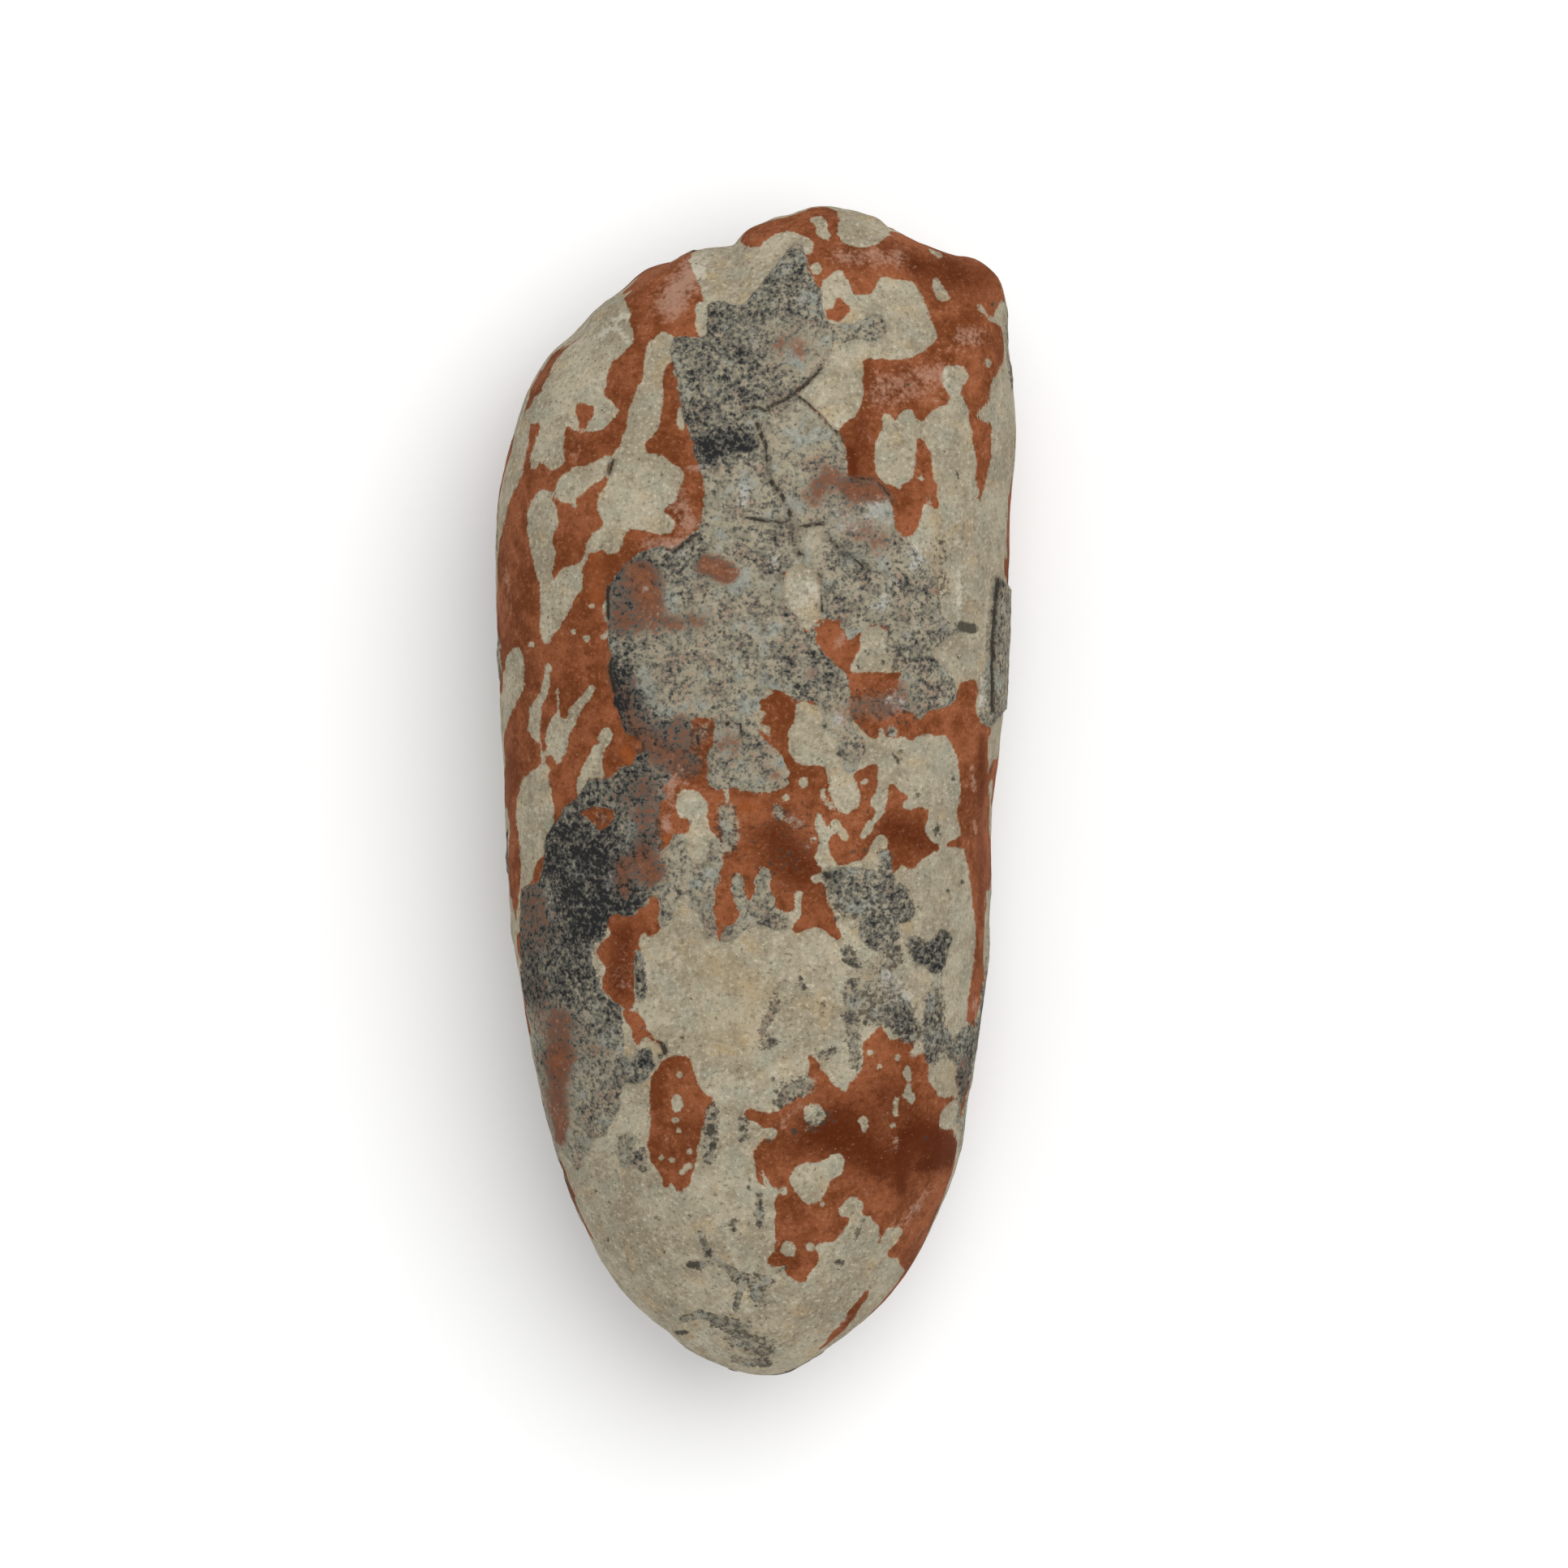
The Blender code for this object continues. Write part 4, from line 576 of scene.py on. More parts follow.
# Dark grains of shell scattered over bare stone.
PEPPER = [
    (12, -13, 16, -13.5, 1.8, 0.5), (12.5, -16, 15.5, -17.5, 2.2, 0.55),
    (18, -15, 21, -15.5, 2, 0.5), (20, -18, 22.5, -18, 1.6, 0.8),
    (19.3, -9.5, 19.8, -12.5, 1, 0.7), (19.7, -20, 21, -25, 1.3, 0.5),
    (13.5, -24, 15.2, -26, 0.9, 0.7), (24, -23, 26.5, -26, 1.2, 0.75),
    (28, -21.8, 27.3, -26, 1, 0.75), (14.5, -29, 14.2, -34, 1.3, 0.6),
    (16.5, -30, 17.5, -34, 1.6, 0.45), (19, -27, 22, -32, 2, 0.4),
    (20.5, -33, 23, -36, 1.9, 0.8), (26.7, -31.5, 26.3, -40, 1.1, 0.65),
    (28.3, -37, 29.5, -39, 1.4, 0.6), (15, 12.5, 22, 13.5, 2.8, 0.45),
    (-4.5, -3, -4.2, -8, 1.8, 0.55), (3.2, -2.5, 3.6, -3.5, 0.8, 0.5),
    (-3, -13, -2.3, -16, 1, 0.5), (8, -6, 4, -12, 4, 0.2), (0, -6, 5, -4, 3, 0.12),
    (-8.3, -66.5, -7, -69.3, 0.55, 0.75), (-6.8, -69.5, -2.5, -73, 0.6, 0.75),
    (-2.5, -73, 1.8, -73.5, 1, 0.7), (-2.2, -74.5, -3, -77.5, 0.6, 0.6),
    (0, -75.5, 1, -76.3, 1.1, 0.7), (3.2, -71.8, 4.2, -71.5, 0.5, 0.7),
    (-10.9, -79.2, -8.3, -78.4, 0.5, 0.9), (-8.3, -78.4, -5.5, -79.2, 0.5, 0.8),
    (-6, -79.5, -1.5, -80, 1, 0.6), (-3.2, -82, 1.5, -83.4, 1.6, 0.6),
    (-3.2, -85, -1.2, -85.7, 0.5, 0.9), (-1.2, -85.7, 1.9, -85.7, 0.5, 0.9),
    (28, 30, 28, 37, 1.6, 0.3), (5, -45, 7.5, -44, 1.6, 0.6),
    (3.5, -47, 4.5, -46, 0.9, 0.5), (3, -32, 1, -36, 0.8, 0.5),
    (1.5, -38, 2.5, -37.5, 0.9, 0.55), (4, -30, 9, -33, 3.5, 0.12),
    (10, -39.5, 11.5, -39, 0.9, 0.5), (14.5, -36, 15, -41, 1.2, 0.5),
    (-6.5, -48, -7, -55, 1.2, 0.65), (-2, -49.5, -2, -52, 0.9, 0.6),
    (27, -30, 27, -37, 1.6, 0.35), (22, -46, 20, -49, 3, 0.15), (8, -50, 10, -49, 1.6, 0.4),
    (0.6, -60.5, 0.6, -65, 0.7, 0.6), (-3.3, -64.5, -3.5, -66, 0.7, 0.5),
    (-9.5, -71, -8, -71, 0.8, 0.6), (12.4, -70.6, 12.8, -70.8, 0.6, 0.6),
    (16, -64.5, 15, -67, 0.6, 0.4), (20.5, 8.9, 1, 0.6), (22, 21, 21, 19, 1.4, 0.45),
    (27, -5.5, 27.3, -6, 0.8, 0.5), (-19.8, -52, -20, -54.5, 0.7, 0.6),
    (-17, -54, -16.6, -56.5, 0.7, 0.5), (32, -36, 31.5, -48, 1.2, 0.7),
    (-15, 6, -10, 4, 2.6, 0.6), (-12, 8, -8, 9, 2, 0.35), (-23, -4, 1.5, 0.35),
    (-17, 2, -15.5, -8, 2.2, 0.6),
]

# Red-brown stone showing through the shell, and ochre stains on the cream.
RUST = [
    (5, 67, 6, 66, 2.6, 0.45), (11, 47.4, 9.4, 44.9, 1.9, 0.65),
    (14.2, 45.4, 18.5, 44.9, 1.5, 1.35), (7, 43, 2, 0.25),
    (-7.4, 34, -4.4, 32.6, 1.5, 1.35), (-16.6, 32.6, -15.8, 28.5, 1.9, 1.4),
    (-19, 33, -20, 27, 2.2, 0.6), (-20, 25, -8, 25.5, 1.8, 0.55),
    (-34, -16, -33, -31, 3, 0.4), (8.5, 17.5, 1.5, 0.4), (-16.8, -10, -15.5, -12.5, 2, 1.1),
    (-11.5, 10, -10, 8, 1.8, 0.5), (-20, -11, -19.5, -15, 1.6, 1.0),
    (-29, -34.5, -29, -40, 2.2, 0.75), (-29.4, -40, -29.3, -48, 1.6, 0.85),
    (-28.8, -49.5, -28.8, -52, 0.9, 1.0), (-32, -17, -31, -20, 2.5, 0.35),
    (-4, 7, 2.6, 0.4), (2, 3, 2.6, 0.25), (15, 12, 21, 14, 3, 0.5), (-24, -38, 3, 0.2),
    (14, 41, 18, 38, 2.6, 0.45), (31, -43, 4, 0.5), (-6, -26, 0, -30, 5, 0.35),
    (-6, -36, -2, -38, 4, 0.3), (27.2, 30, 27.2, 48, 0.8, 0.4), (21, -52, 24, -47, 3, 0.15),
    (-20, -1, -17, 1, 2, 0.35), (-13, 20, -8, 14, 3, 0.12),
    (-19.8, 15, -18, 9.5, 2.2, 0.85), (-15, 7, -10, 3, 2.6, 0.95),
    (-17.5, -4, -16.5, -7.5, 1.8, 0.55), (-16, 0, -14, -5, 2, 0.5),
]

# Pale dust ground into the surface.
DUST = [
    (-13, 73, -9.5, 78, 2.4, 1.0), (7, 30, 7, 29, 2.4, 0.7), (13, 80, 21, 80, 2, 0.6),
    (-20, -24, -20, -29, 2, 0.3), (19, 60, 27, 62, 3, 0.6), (31, 68, 33, 68, 1.6, 0.7),
    (-16, 37, -12, 37.3, 1.2, 0.8), (-12.5, 44, -10, 40, 1.8, 0.7),
    (-10, 48.5, -8.2, 48.5, 0.5, 0.9), (-21.5, 70.7, -19.1, 71.2, 0.5, 0.9),
    (-23.8, 68.4, -21.2, 69.5, 0.5, 0.9), (-20.4, 69.4, -19.1, 67.5, 0.5, 0.9),
    (-2, 43.5, -1.5, 45, 1.2, 0.9), (3, 34.5, 1, 0.9), (-11, 35, 1.6, 0.5),
    (19.5, -28, 22.5, -31, 2, 0.6), (17, 41.5, 18, 42.5, 1.8, 0.6),
    (24, 35, 24, 36, 2, 0.7), (12, 10.7, 1.3, 0.7), (12, 42, 14, 40, 2, 0.5),
    (30.5, 26, 30.5, 33, 0.6, 0.7), (18.5, 27, 20, 31, 1.6, 0.4),
    (32.3, 4, 32.9, 0, 0.4, 0.6), (32.8, -4.5, 33, -6.3, 0.4, 0.6),
    (33.8, 13, 33.9, 17, 0.4, 0.8), (20.5, 14, 21.5, 13, 1.4, 0.6),
    (12.4, 22, 13.4, 24, 0.7, 0.5), (-21.5, -12, -22, -15, 0.5, 0.7),
    (-16.5, 30.5, 0.6, 0.9), (-14, 1, -10, 3.5, 2, 0.3), (-12.8, 1.5, -12.6, -3, 1.0, 0.5),
    (-23, -4, 1.5, 0.4), (-13.5, -4.6, -13.2, -5.4, 0.8, 0.9), (-33, -2, -33, -6, 2, 0.25),
    (26.5, -59.5, 24, -62.5, 0.8, 0.45), (24, -62.5, 21.5, -65, 0.9, 0.5),
    (3.8, -49.8, 6.8, -47.5, 0.9, 0.6), (33, -31.5, 33.5, -34, 0.9, 0.6),
    (-8, -82, -6, -84, 1.3, 0.5), (21, -52, 21, -54, 0.5, 0.7), (-13.4, -52, 0.5, 0.7),
    (13.3, -79.5, 14, -78.6, 0.5, 0.7), (-36.7, 27, -37.6, 33, 0.6, 0.5),
    (5, -3, 6, -5, 1.2, 0.25), (9, 30, 1, 0.2), (15.2, -7.8, 0.6, 0.6),
    (-30.7, -14.5, -30.3, -19.5, 0.7, 0.6), (-11, -83, -9, -83, 1, 0.5),
    (27, 0, 25, 3, 2.5, 0.2), (-24, 62, -25, 66, 3, 0.3), (-27, 52, -31, 50, 2, 0.3),
    (30, 38, 30, 42, 2, 0.25),
]

# Red stone that is darker (above zero) or more orange (below zero) than the rest.
DEEP = [
    (15, 48.5, 15.3, 55, 2.6, 0.5), (33.9, 8, 34, -20, 0.9, 0.6),
    (20.5, -5.5, 26.5, -7.5, 3, 0.7), (16.5, 2.5, 2, 0.3), (25.5, -52, 29, -54, 3.6, 1.0),
    (8, -50, 20, -46, 4, 0.45), (12, -52, 19, -56, 4, 0.6),
    (22.3, -52, 21.8, -60, 1.2, 0.6), (29, 79, 34, 77, 2.5, 0.5),
    (-37.5, 5, -37.5, -6, 1.4, 0.5), (3, -6, 7, -12, 4, 0.7), (22, 80, 24, 79, 2, 0.6),
    (15, 13, 21, 14, 3, 0.4), (-20, -22, -20.5, -30, 3, 0.55),
    (-5, -2.4, 1.5, -2.6, 1.8, -0.6), (-24, 29, -24, 35.5, 1.6, -0.5),
    (-13.4, -7, -13.4, -7.6, 0.9, -0.8), (-18.5, 4.8, -19.5, 6, 1.2, -0.7),
    (24.6, 45, 25.2, 49, 0.8, 0.4), (-38.1, 43, -38.1, 47, 0.7, 0.9),
    (26.4, -56, 24.5, -56.3, 0.8, 0.7), (6, -54, 1, -56, 2.5, 0.3),
    (15, -52, 18, -58, 4, 0.2), (-28.8, -50.5, -28.8, -52, 0.8, 0.9),
    (-11, -50, -10, -55, 2, 0.35), (18, -45, 19, -42, 3, 0.15), (26, 77, 32, 74, 3, 0.3),
    (-19, 20, -26, 12, 3, -0.15), (14.2, 51, 14.6, 47.6, 0.7, 0.5),
    (-19.5, -21, -20.5, -28, 2, 0.15),
]

# Cracks and dark seams: points along each, and the half width.
CRACKS = [
    ([(0.3, 55), (1, 53), (1.6, 51.5), (1.8, 49.8), (2, 48), (2.3, 46.5), (3.2, 45.3),
      (4, 44), (4.6, 42.7), (5.3, 41.2), (5.7, 40), (5.7, 38.5), (5.8, 37), (6.2, 36),
      (7.2, 35.2)], 0.22),
    ([(0.5, 57.5), (1.5, 57), (2.5, 57.8), (3.6, 58.2), (4.6, 58.8), (5.5, 59.4), (6.3, 60),
      (7.5, 61), (8.8, 62.2), (9.8, 63.5)], 0.15),
    ([(-1.5, 57.2), (0.5, 57.5)], 0.1),
    ([(6.3, 59.2), (7.5, 58.4), (8.6, 57.3), (9.6, 56.4), (10.5, 55.3), (11.5, 54.4),
      (12.2, 53.7), (12.9, 52.5)], 0.1),
    ([(-1.5, 41), (2, 40.5), (5.7, 40)], 0.1), ([(6.5, 39.6), (10.5, 40.2)], 0.17),
    ([(14.2, 46.8), (16.4, 46.9), (18, 46.5), (19.5, 45), (20.5, 43.5)], 0.1),
    ([(-22, 47.7), (-21.4, 49.5)], 0.15), ([(-14.2, -37.8), (-13.7, -38.5), (-13.6, -39.2)], 0.28),
    ([(35.1, 12), (35.1, 20), (35.5, 28), (36, 31.8)], 0.16),
    ([(-22, 30.6), (-22.1, 26)], 0.22), ([(-21.4, 20), (-21.8, 18.2), (-21.1, 15)], 0.22),
    ([(-4.3, 10), (-3.8, 10.4), (-2.8, 10.3), (-2.2, 9.8), (-1.9, 8.5), (-1.3, 7.5), (0, 6.8),
      (1, 6.2)], 0.14),
    ([(11, 38), (12, 37), (13, 35.6), (15, 34.6), (16.6, 33.2)], 0.14),
    ([(-12, 36), (-9, 38.4)], 0.18), ([(10.3, -12.3), (10.8, -12.8)], 0.3),
    ([(-8.6, 8.6), (-8.6, 7.2)], 0.2),
    ([(9.9, 27), (10, 28.5), (10, 30), (9.9, 31.5), (9.5, 32.8)], 0.12),
    ([(4.1, 32.2), (3.9, 30.5), (4, 28.8), (4.3, 27.7), (5.2, 26.9)], 0.1),
]

# Dark specks on cream or red, written the same way as the cream dots and streaks.
SPECKS = [
    (6.7, -28.1, 0.5), (7.4, -29.6, 7.2, -29.2, 0.45), (10.1, -31.7, 10.1, -32.1, 0.42),
    (10, -33.4, 0.35), (14.5, -28.4, 14.5, -29.8, 0.3), (1.6, -36.2, 0.38),
    (2.6, -37.6, 1.9, -37.2, 0.34), (1, -37.2, 0.3), (11.1, -39, 0.5), (16.4, -34.7, 0.5),
    (2.6, -43.2, 0.45), (3, -45, 0.45), (-5.9, -34, 0.3), (-3.9, -34.8, 0.32),
    (15.2, -40, 15.2, -41.5, 0.28), (-11, -36.9, 0.4), (-9.7, -31, 0.35),
    (-13.4, -37.8, 0.3), (-14.3, -39.7, 0.5), (13.2, -25.3, 15.3, -26.3, 0.42),
    (21.3, -23.5, 0.6), (24, -22.8, 0.55), (28.3, -21.5, 0.6), (27.9, -23.5, 0.4),
    (19.5, -19.7, 0.5), (22.4, -19.3, 0.5), (12.2, -19, 0.45), (18.2, -16.5, 0.5),
    (12.5, -17, 0.45), (-8.5, -16.8, 0.5), (-11.4, -15, 0.45), (-13, -18.5, 0.4),
    (-2.1, -23.7, 0.3), (4.5, -20.3, 0.35), (27.2, -5.7, 0.5), (24.3, -0.5, 0.45),
    (29.6, 1.9, 0.45), (31, -13.6, 0.4), (28.8, -15, 0.4), (24.3, -17.3, 0.3),
    (21.8, 6, 0.4), (20.7, 5.6, 21.5, 4.3, 0.35), (12.4, 5.6, 0.5), (9.9, 4.6, 0.32),
    (-9.8, -4.7, 0.45), (-6.3, -46.9, 0.5), (-6.4, -48.5, 0.5),
    (-6.8, -50.4, -6.8, -51.2, 0.7), (-5.8, -51.2, 0.4), (-6.4, -53, 0.6),
    (-7.4, -54.5, 0.45), (-2, -50.5, 0.5), (-2.1, -52.2, 0.5), (-1.3, -49.3, 0.38),
    (15.9, 26.6, 0.3), (16.7, 20.8, 0.45), (19.1, 19.3, 0.45), (15.4, 18.7, 0.42),
    (16.2, 18.5, 0.3), (19.6, 21.1, 0.45), (21.9, 18.6, 0.3), (17.6, 25.4, 0.3),
    (30.8, 24.7, 32.6, 24.4, 0.85), (30.5, 20, 0.4), (28.3, 51, 0.35),
    (30.3, 47, 30.3, 48, 0.3), (29, 47.5, 0.32), (22.7, 61, 0.4), (-23, 57, 0.32),
    (16.9, -3.1, 0.4), (3.3, -2.7, 0.4), (8.3, -12.5, 0.35), (14.7, -9, 0.45),
    (16.4, -8.8, 0.4), (23.8, 11, 0.4), (20, 8.9, 20.6, 9.1, 0.35), (22.5, 10.3, 0.4),
    (-16.5, -29.7, 0.4), (8.2, -48.9, 0.32), (9.7, -48.4, 0.32), (9.2, -47.4, 0.3),
    (9.2, -49.3, 0.3), (5.8, -51, 0.6), (11.6, -49.4, 0.4), (1.9, -52.4, 0.45),
    (3.8, -47.3, 0.5), (25.6, -52, 0.5), (32.6, -34.7, 0.8), (25.8, -66, 25.4, -66.8, 0.8),
    (-9.9, -71, -8.7, -71, 0.6), (-7, -69.2, 0.6), (-13.4, -81.2, -12.5, -81.4, 0.55),
    (-11.8, -81.2, -10.4, -81.1, 0.4), (-3.3, -65.7, 0.4), (0.7, -61.2, 0.7, -62.6, 0.35),
    (0.6, -64.7, 0.4), (-1, -59.5, 0.4), (-0.9, -58.2, 0.36), (-9.9, -63.8, 0.4),
    (-15, -63.9, 0.34), (-24, -60, 0.45), (-21.9, -61.8, 0.34), (-13.7, -69, 0.34),
    (-22.2, -67.3, 0.38), (12.5, -70.6, 0.42), (-5.3, 24, 0.4), (10.3, 9.8, 0.45),
    (12.8, 13.9, 0.4), (35.6, 73, 0.5),
]

# Sizes of the patches of colour where the photograph doesn't reach, on the steep sides
# and underneath, and of the folds that make their edges crooked, with the folds' reach.
CREAM_SIZE = 13.0
SHELL_SIZE = 18.0
TONE_SIZE = 9.0
DRIFT_SIZE = 6.0
FOLD_SIZE = 6.0
FOLD_REACH = 2.5


def smoothstep(low, high, value):
    share = np.clip((value - low) / (high - low), 0.0, 1.0)
    return share * share * (3.0 - 2.0 * share)


def outline_factors():
    """How far the outline lies outside an ellipse of the egg's size, by angle."""
    marks = np.array(OUTLINE) / (WIDTH / 2, LENGTH / 2)
    angles = np.arctan2(marks[:, 1], marks[:, 0]) % math.tau
    order = np.argsort(angles)
    steps = np.arange(TABLE_STEPS) * math.tau / TABLE_STEPS
    reach = np.hypot(marks[:, 0], marks[:, 1])
    return np.interp(steps, angles[order], reach[order], period=math.tau)


def blurred(factors, reach_deg):
    """The same table with its notches and knobs evened out."""
    reach = round(reach_deg / 360.0 * TABLE_STEPS)
    shifts = range(-reach, reach + 1)
    weights = [1.0 + math.cos(math.pi * k / (reach + 1)) for k in shifts]
    return sum(w * np.roll(factors, k) for w, k in zip(weights, shifts)) / sum(weights)


def look_up(table, angles):
    steps = np.arange(TABLE_STEPS) * math.tau / TABLE_STEPS
    return np.interp(angles % math.tau, steps, table, period=math.tau)


def egg_points(direction):
    """The points of the plain egg in those directions."""
    sharp = blurred(outline_factors(), CORNER_SMOOTHING_DEG)
    smooth = blurred(sharp, SMOOTHING_DEG)
    angle = np.arctan2(direction[:, 1], direction[:, 0])
    level = np.hypot(direction[:, 0], direction[:, 1])
    upper = direction[:, 2] > 0.0
    squareness = np.where(upper, CROWN_SQUARENESS, BELLY_SQUARENESS)
    rise = np.where(upper, HEIGHT - GIRTH_HEIGHT, GIRTH_HEIGHT + FLAT_DEPTH)
    squareness = squareness + BROKEN_END_EXTRA * np.maximum(0.0, np.sin(angle)) ** 2
    power = 2.0 / squareness
    rim = level**power
    even = look_up(smooth, angle)
    factor = even + (look_up(sharp, angle) - even) * smoothstep(RIM_START, 1.0, level)
    x = WIDTH / 2 * np.cos(angle) * factor * rim
    y = LENGTH / 2 * np.sin(angle) * factor * rim + CROWN_Y * (1.0 - rim)
    z = GIRTH_HEIGHT + np.sign(direction[:, 2]) * np.abs(direction[:, 2]) ** power * rise
    return np.stack([x, y, z], axis=1)


def noise_at(points, size, shift=0.0):
    """Smooth noise, about -1 to 1, whose lumps are that many millimetres across."""
    scaled = points / size + shift
    return np.array([noise.noise(Vector(p)) for p in scaled])


def smooth_curve(points, closed):
    """The same outline with its corners rounded, two more points in each stretch."""
    p = np.array(points, float)
    ahead = np.roll(p, -1, axis=0)
    across = ahead - np.roll(p, 1, axis=0)
    if not closed:
        across[0], across[-1] = p[1] - p[0], p[-1] - p[-2]
    across /= np.maximum(np.linalg.norm(across, axis=1, keepdims=True), 1e-9)
    length = np.linalg.norm(ahead - p, axis=1, keepdims=True)
    rows = []
    for t in (0.0, 1 / 3, 2 / 3):
        rows.append(
            (2 * t**3 - 3 * t**2 + 1) * p
            + (t**3 - 2 * t**2 + t) * across * length
            + (3 * t**2 - 2 * t**3) * ahead
            + (t**3 - t**2) * np.roll(across, -1, axis=0) * length
        )
    curve = np.stack(rows, axis=1).reshape(-1, 2)
    return curve if closed else curve[: 3 * len(p) - 2]


def line_distance(seen, start, end):
    """Millimetres from each place to the nearest of those stretches of line."""
    along = end - start
    square = np.maximum((along * along).sum(axis=1), 1e-12)
    result = np.empty(len(seen))
    for i in range(0, len(seen), BATCH):
        away = seen[i : i + BATCH, None, :] - start[None]
        share = np.clip((away * along).sum(axis=2) / square, 0.0, 1.0)
        away -= share[:, :, None] * along
        result[i : i + BATCH] = np.sqrt((away * away).sum(axis=2).min(axis=1))
    return result


def is_inside(seen, start, end):
    """Whether each place lies inside the closed line: it crosses it an odd number of times."""
    result = np.empty(len(seen), bool)
    for i in range(0, len(seen), BATCH):
        x, y = seen[i : i + BATCH, 0, None], seen[i : i + BATCH, 1, None]
        spans = (start[:, 1] > y) != (end[:, 1] > y)
        rise = np.where(start[:, 1] == end[:, 1], 1.0, end[:, 1] - start[:, 1])
        crossing = start[:, 0] + (y - start[:, 1]) / rise * (end[:, 0] - start[:, 0])
        result[i : i + BATCH] = (spans & (x < crossing)).sum(axis=1) % 2 == 1
    return result


def near_to(seen, curve):
    """Which places are near enough to that curve for it to matter."""
    low, high = curve.min(axis=0) - EDGE_REACH, curve.max(axis=0) + EDGE_REACH
    return ((seen > low) & (seen < high)).all(axis=1)


def patch_depth(seen, outlines):
    """Millimetres inside the nearest of the closed outlines; below zero outside."""
    depth = np.full(len(seen), -EDGE_REACH)
    for outline in outlines:
        curve = smooth_curve(outline, True)
        near = near_to(seen, curve)
        start, end = curve, np.roll(curve, -1, axis=0)
        away = line_distance(seen[near], start, end)
        signed = np.where(is_inside(seen[near], start, end), away, -away)
        depth[near] = np.maximum(depth[near], signed)
    return np.minimum(depth, EDGE_REACH)


def line_depth(seen, lines):
    """The same for open lines with round ends: the points along each, and the half width."""
    depth = np.full(len(seen), -EDGE_REACH)
    for curve, half in lines:
        near = near_to(seen, curve)
        away = line_distance(seen[near], curve[:-1], curve[1:])
        depth[near] = np.maximum(depth[near], half - away)
    return depth


def stroke_depth(seen, strokes):
    """The same for dots and straight strokes: one place or two, and the half width."""
    lines = [(np.array([place[:2], place[-2:]]), half) for *place, half in strokes]
    return line_depth(seen, lines)


def crack_depth(seen):
    return line_depth(seen, [(smooth_curve(points, False), half) for points, half in CRACKS])


def brushed(seen, strokes):
    """The total of soft dabs and strokes: one place or two, the reach, and the amount."""
    amounts = np.zeros(len(seen))
    for *place, reach, amount in strokes:
        away = line_distance(seen, np.array([place[:2]]), np.array([place[-2:]]))
        amounts += amount * np.exp(-((away / reach) ** 2))
    return amounts


def shell_tone(seen):
    """The share of dark grains, blended between the places where it was judged."""
    weights = np.full(len(seen), PLAIN_WEIGHT)
    tones = weights * PLAIN_TONE
    for x, y, reach, tone in SHELL_TONES:
        weight = np.exp(-((seen - (x, y)) ** 2).sum(axis=1) / reach**2)
        weights += weight
        tones += weight * tone
    return tones / weights


def seen_from_camera(points):
    """Where the camera sees each point, in millimetres at the height of the girth."""
    eye = np.array([CAMERA_X, CAMERA_Y])
    nearer = CAMERA_DISTANCE / (CAMERA_DISTANCE + GIRTH_HEIGHT - points[:, 2:3])
    return eye + (points[:, :2] - eye) * nearer


def weather_rise(points):
    """Lumps, hollows and weathering, outwards."""
    rise = np.zeros(len(points))
    broken = smoothstep(BROKEN_END_Y, LENGTH / 2, points[:, 1])
    for everywhere, at_broken_end, width, shift in WEATHERING:
        rise += (everywhere + at_broken_end * broken) * noise_at(points, width, shift)
    for x, y, z, reach, height in LUMPS:
        away = np.linalg.norm(points - (x, y, z), axis=1) / reach
        rise += height * np.exp(-away * away)
    return rise


def read_vectors(mesh, kind):
    values = np.empty(len(mesh.vertices) * 3)
    mesh.vertices.foreach_get(kind, values)
    return values.reshape(-1, 3)


def write_points(mesh, points):
    mesh.vertices.foreach_set("co", points.ravel())
    mesh.update()


def pick(mesh, mode, chosen):
    """Selects those edges or faces and nothing else, and goes to edit mode."""
    bpy.ops.object.mode_set(mode="EDIT")
    bpy.ops.mesh.select_mode(type=mode)
    bpy.ops.mesh.select_all(action="DESELECT")
    bpy.ops.object.mode_set(mode="OBJECT")
    parts = mesh.edges if mode == "EDGE" else mesh.polygons
    parts.foreach_set("select", chosen)
    bpy.ops.object.mode_set(mode="EDIT")


def edges_along(mesh, axis):
    """Whether each edge of the block runs along that axis."""
    points = read_vectors(mesh, "co")
    ends = np.empty(len(mesh.edges) * 2, int)
    mesh.edges.foreach_get("vertices", ends)
    start, end = points[ends[0::2], axis], points[ends[1::2], axis]
    return np.abs(start - end) > 1e-6


def gridded_block():
    """A block cut into a grid with the edit-mode tools, twice as fine above its middle."""
    bpy.ops.object.select_all(action="DESELECT")
    bpy.ops.mesh.primitive_cube_add(size=2.0)
    block = bpy.context.object
    mesh = block.data
    for axis, cuts in enumerate(GRID_CUTS):
        for number in cuts:
            pick(mesh, "EDGE", edges_along(mesh, axis))
            bpy.ops.mesh.subdivide(number_cuts=number)
            bpy.ops.object.mode_set(mode="OBJECT")
    pick(mesh, "FACE", [face.center.z > 0.0 for face in mesh.polygons])
    bpy.ops.mesh.subdivide(number_cuts=1)
    bpy.ops.object.mode_set(mode="OBJECT")
    return block


def rounded(corners):
    """Directions for the block's points, spread evenly over the long, flat egg."""
    leaning = corners * np.sin(np.arctan(GRID_SPREAD))
    direction = leaning / np.sqrt(1.0 - leaning**2)
    return direction / np.linalg.norm(direction, axis=1, keepdims=True)


def fitted(points):
    """The points centred over the origin and scaled to the egg's width, length and height."""
    low, high = points.min(axis=0), points.max(axis=0)
    low[2] = 0.0
    middle = (low + high) / 2 * (1.0, 1.0, 0.0)
    return (points - middle) * (WIDTH, LENGTH, HEIGHT) / (high - low)


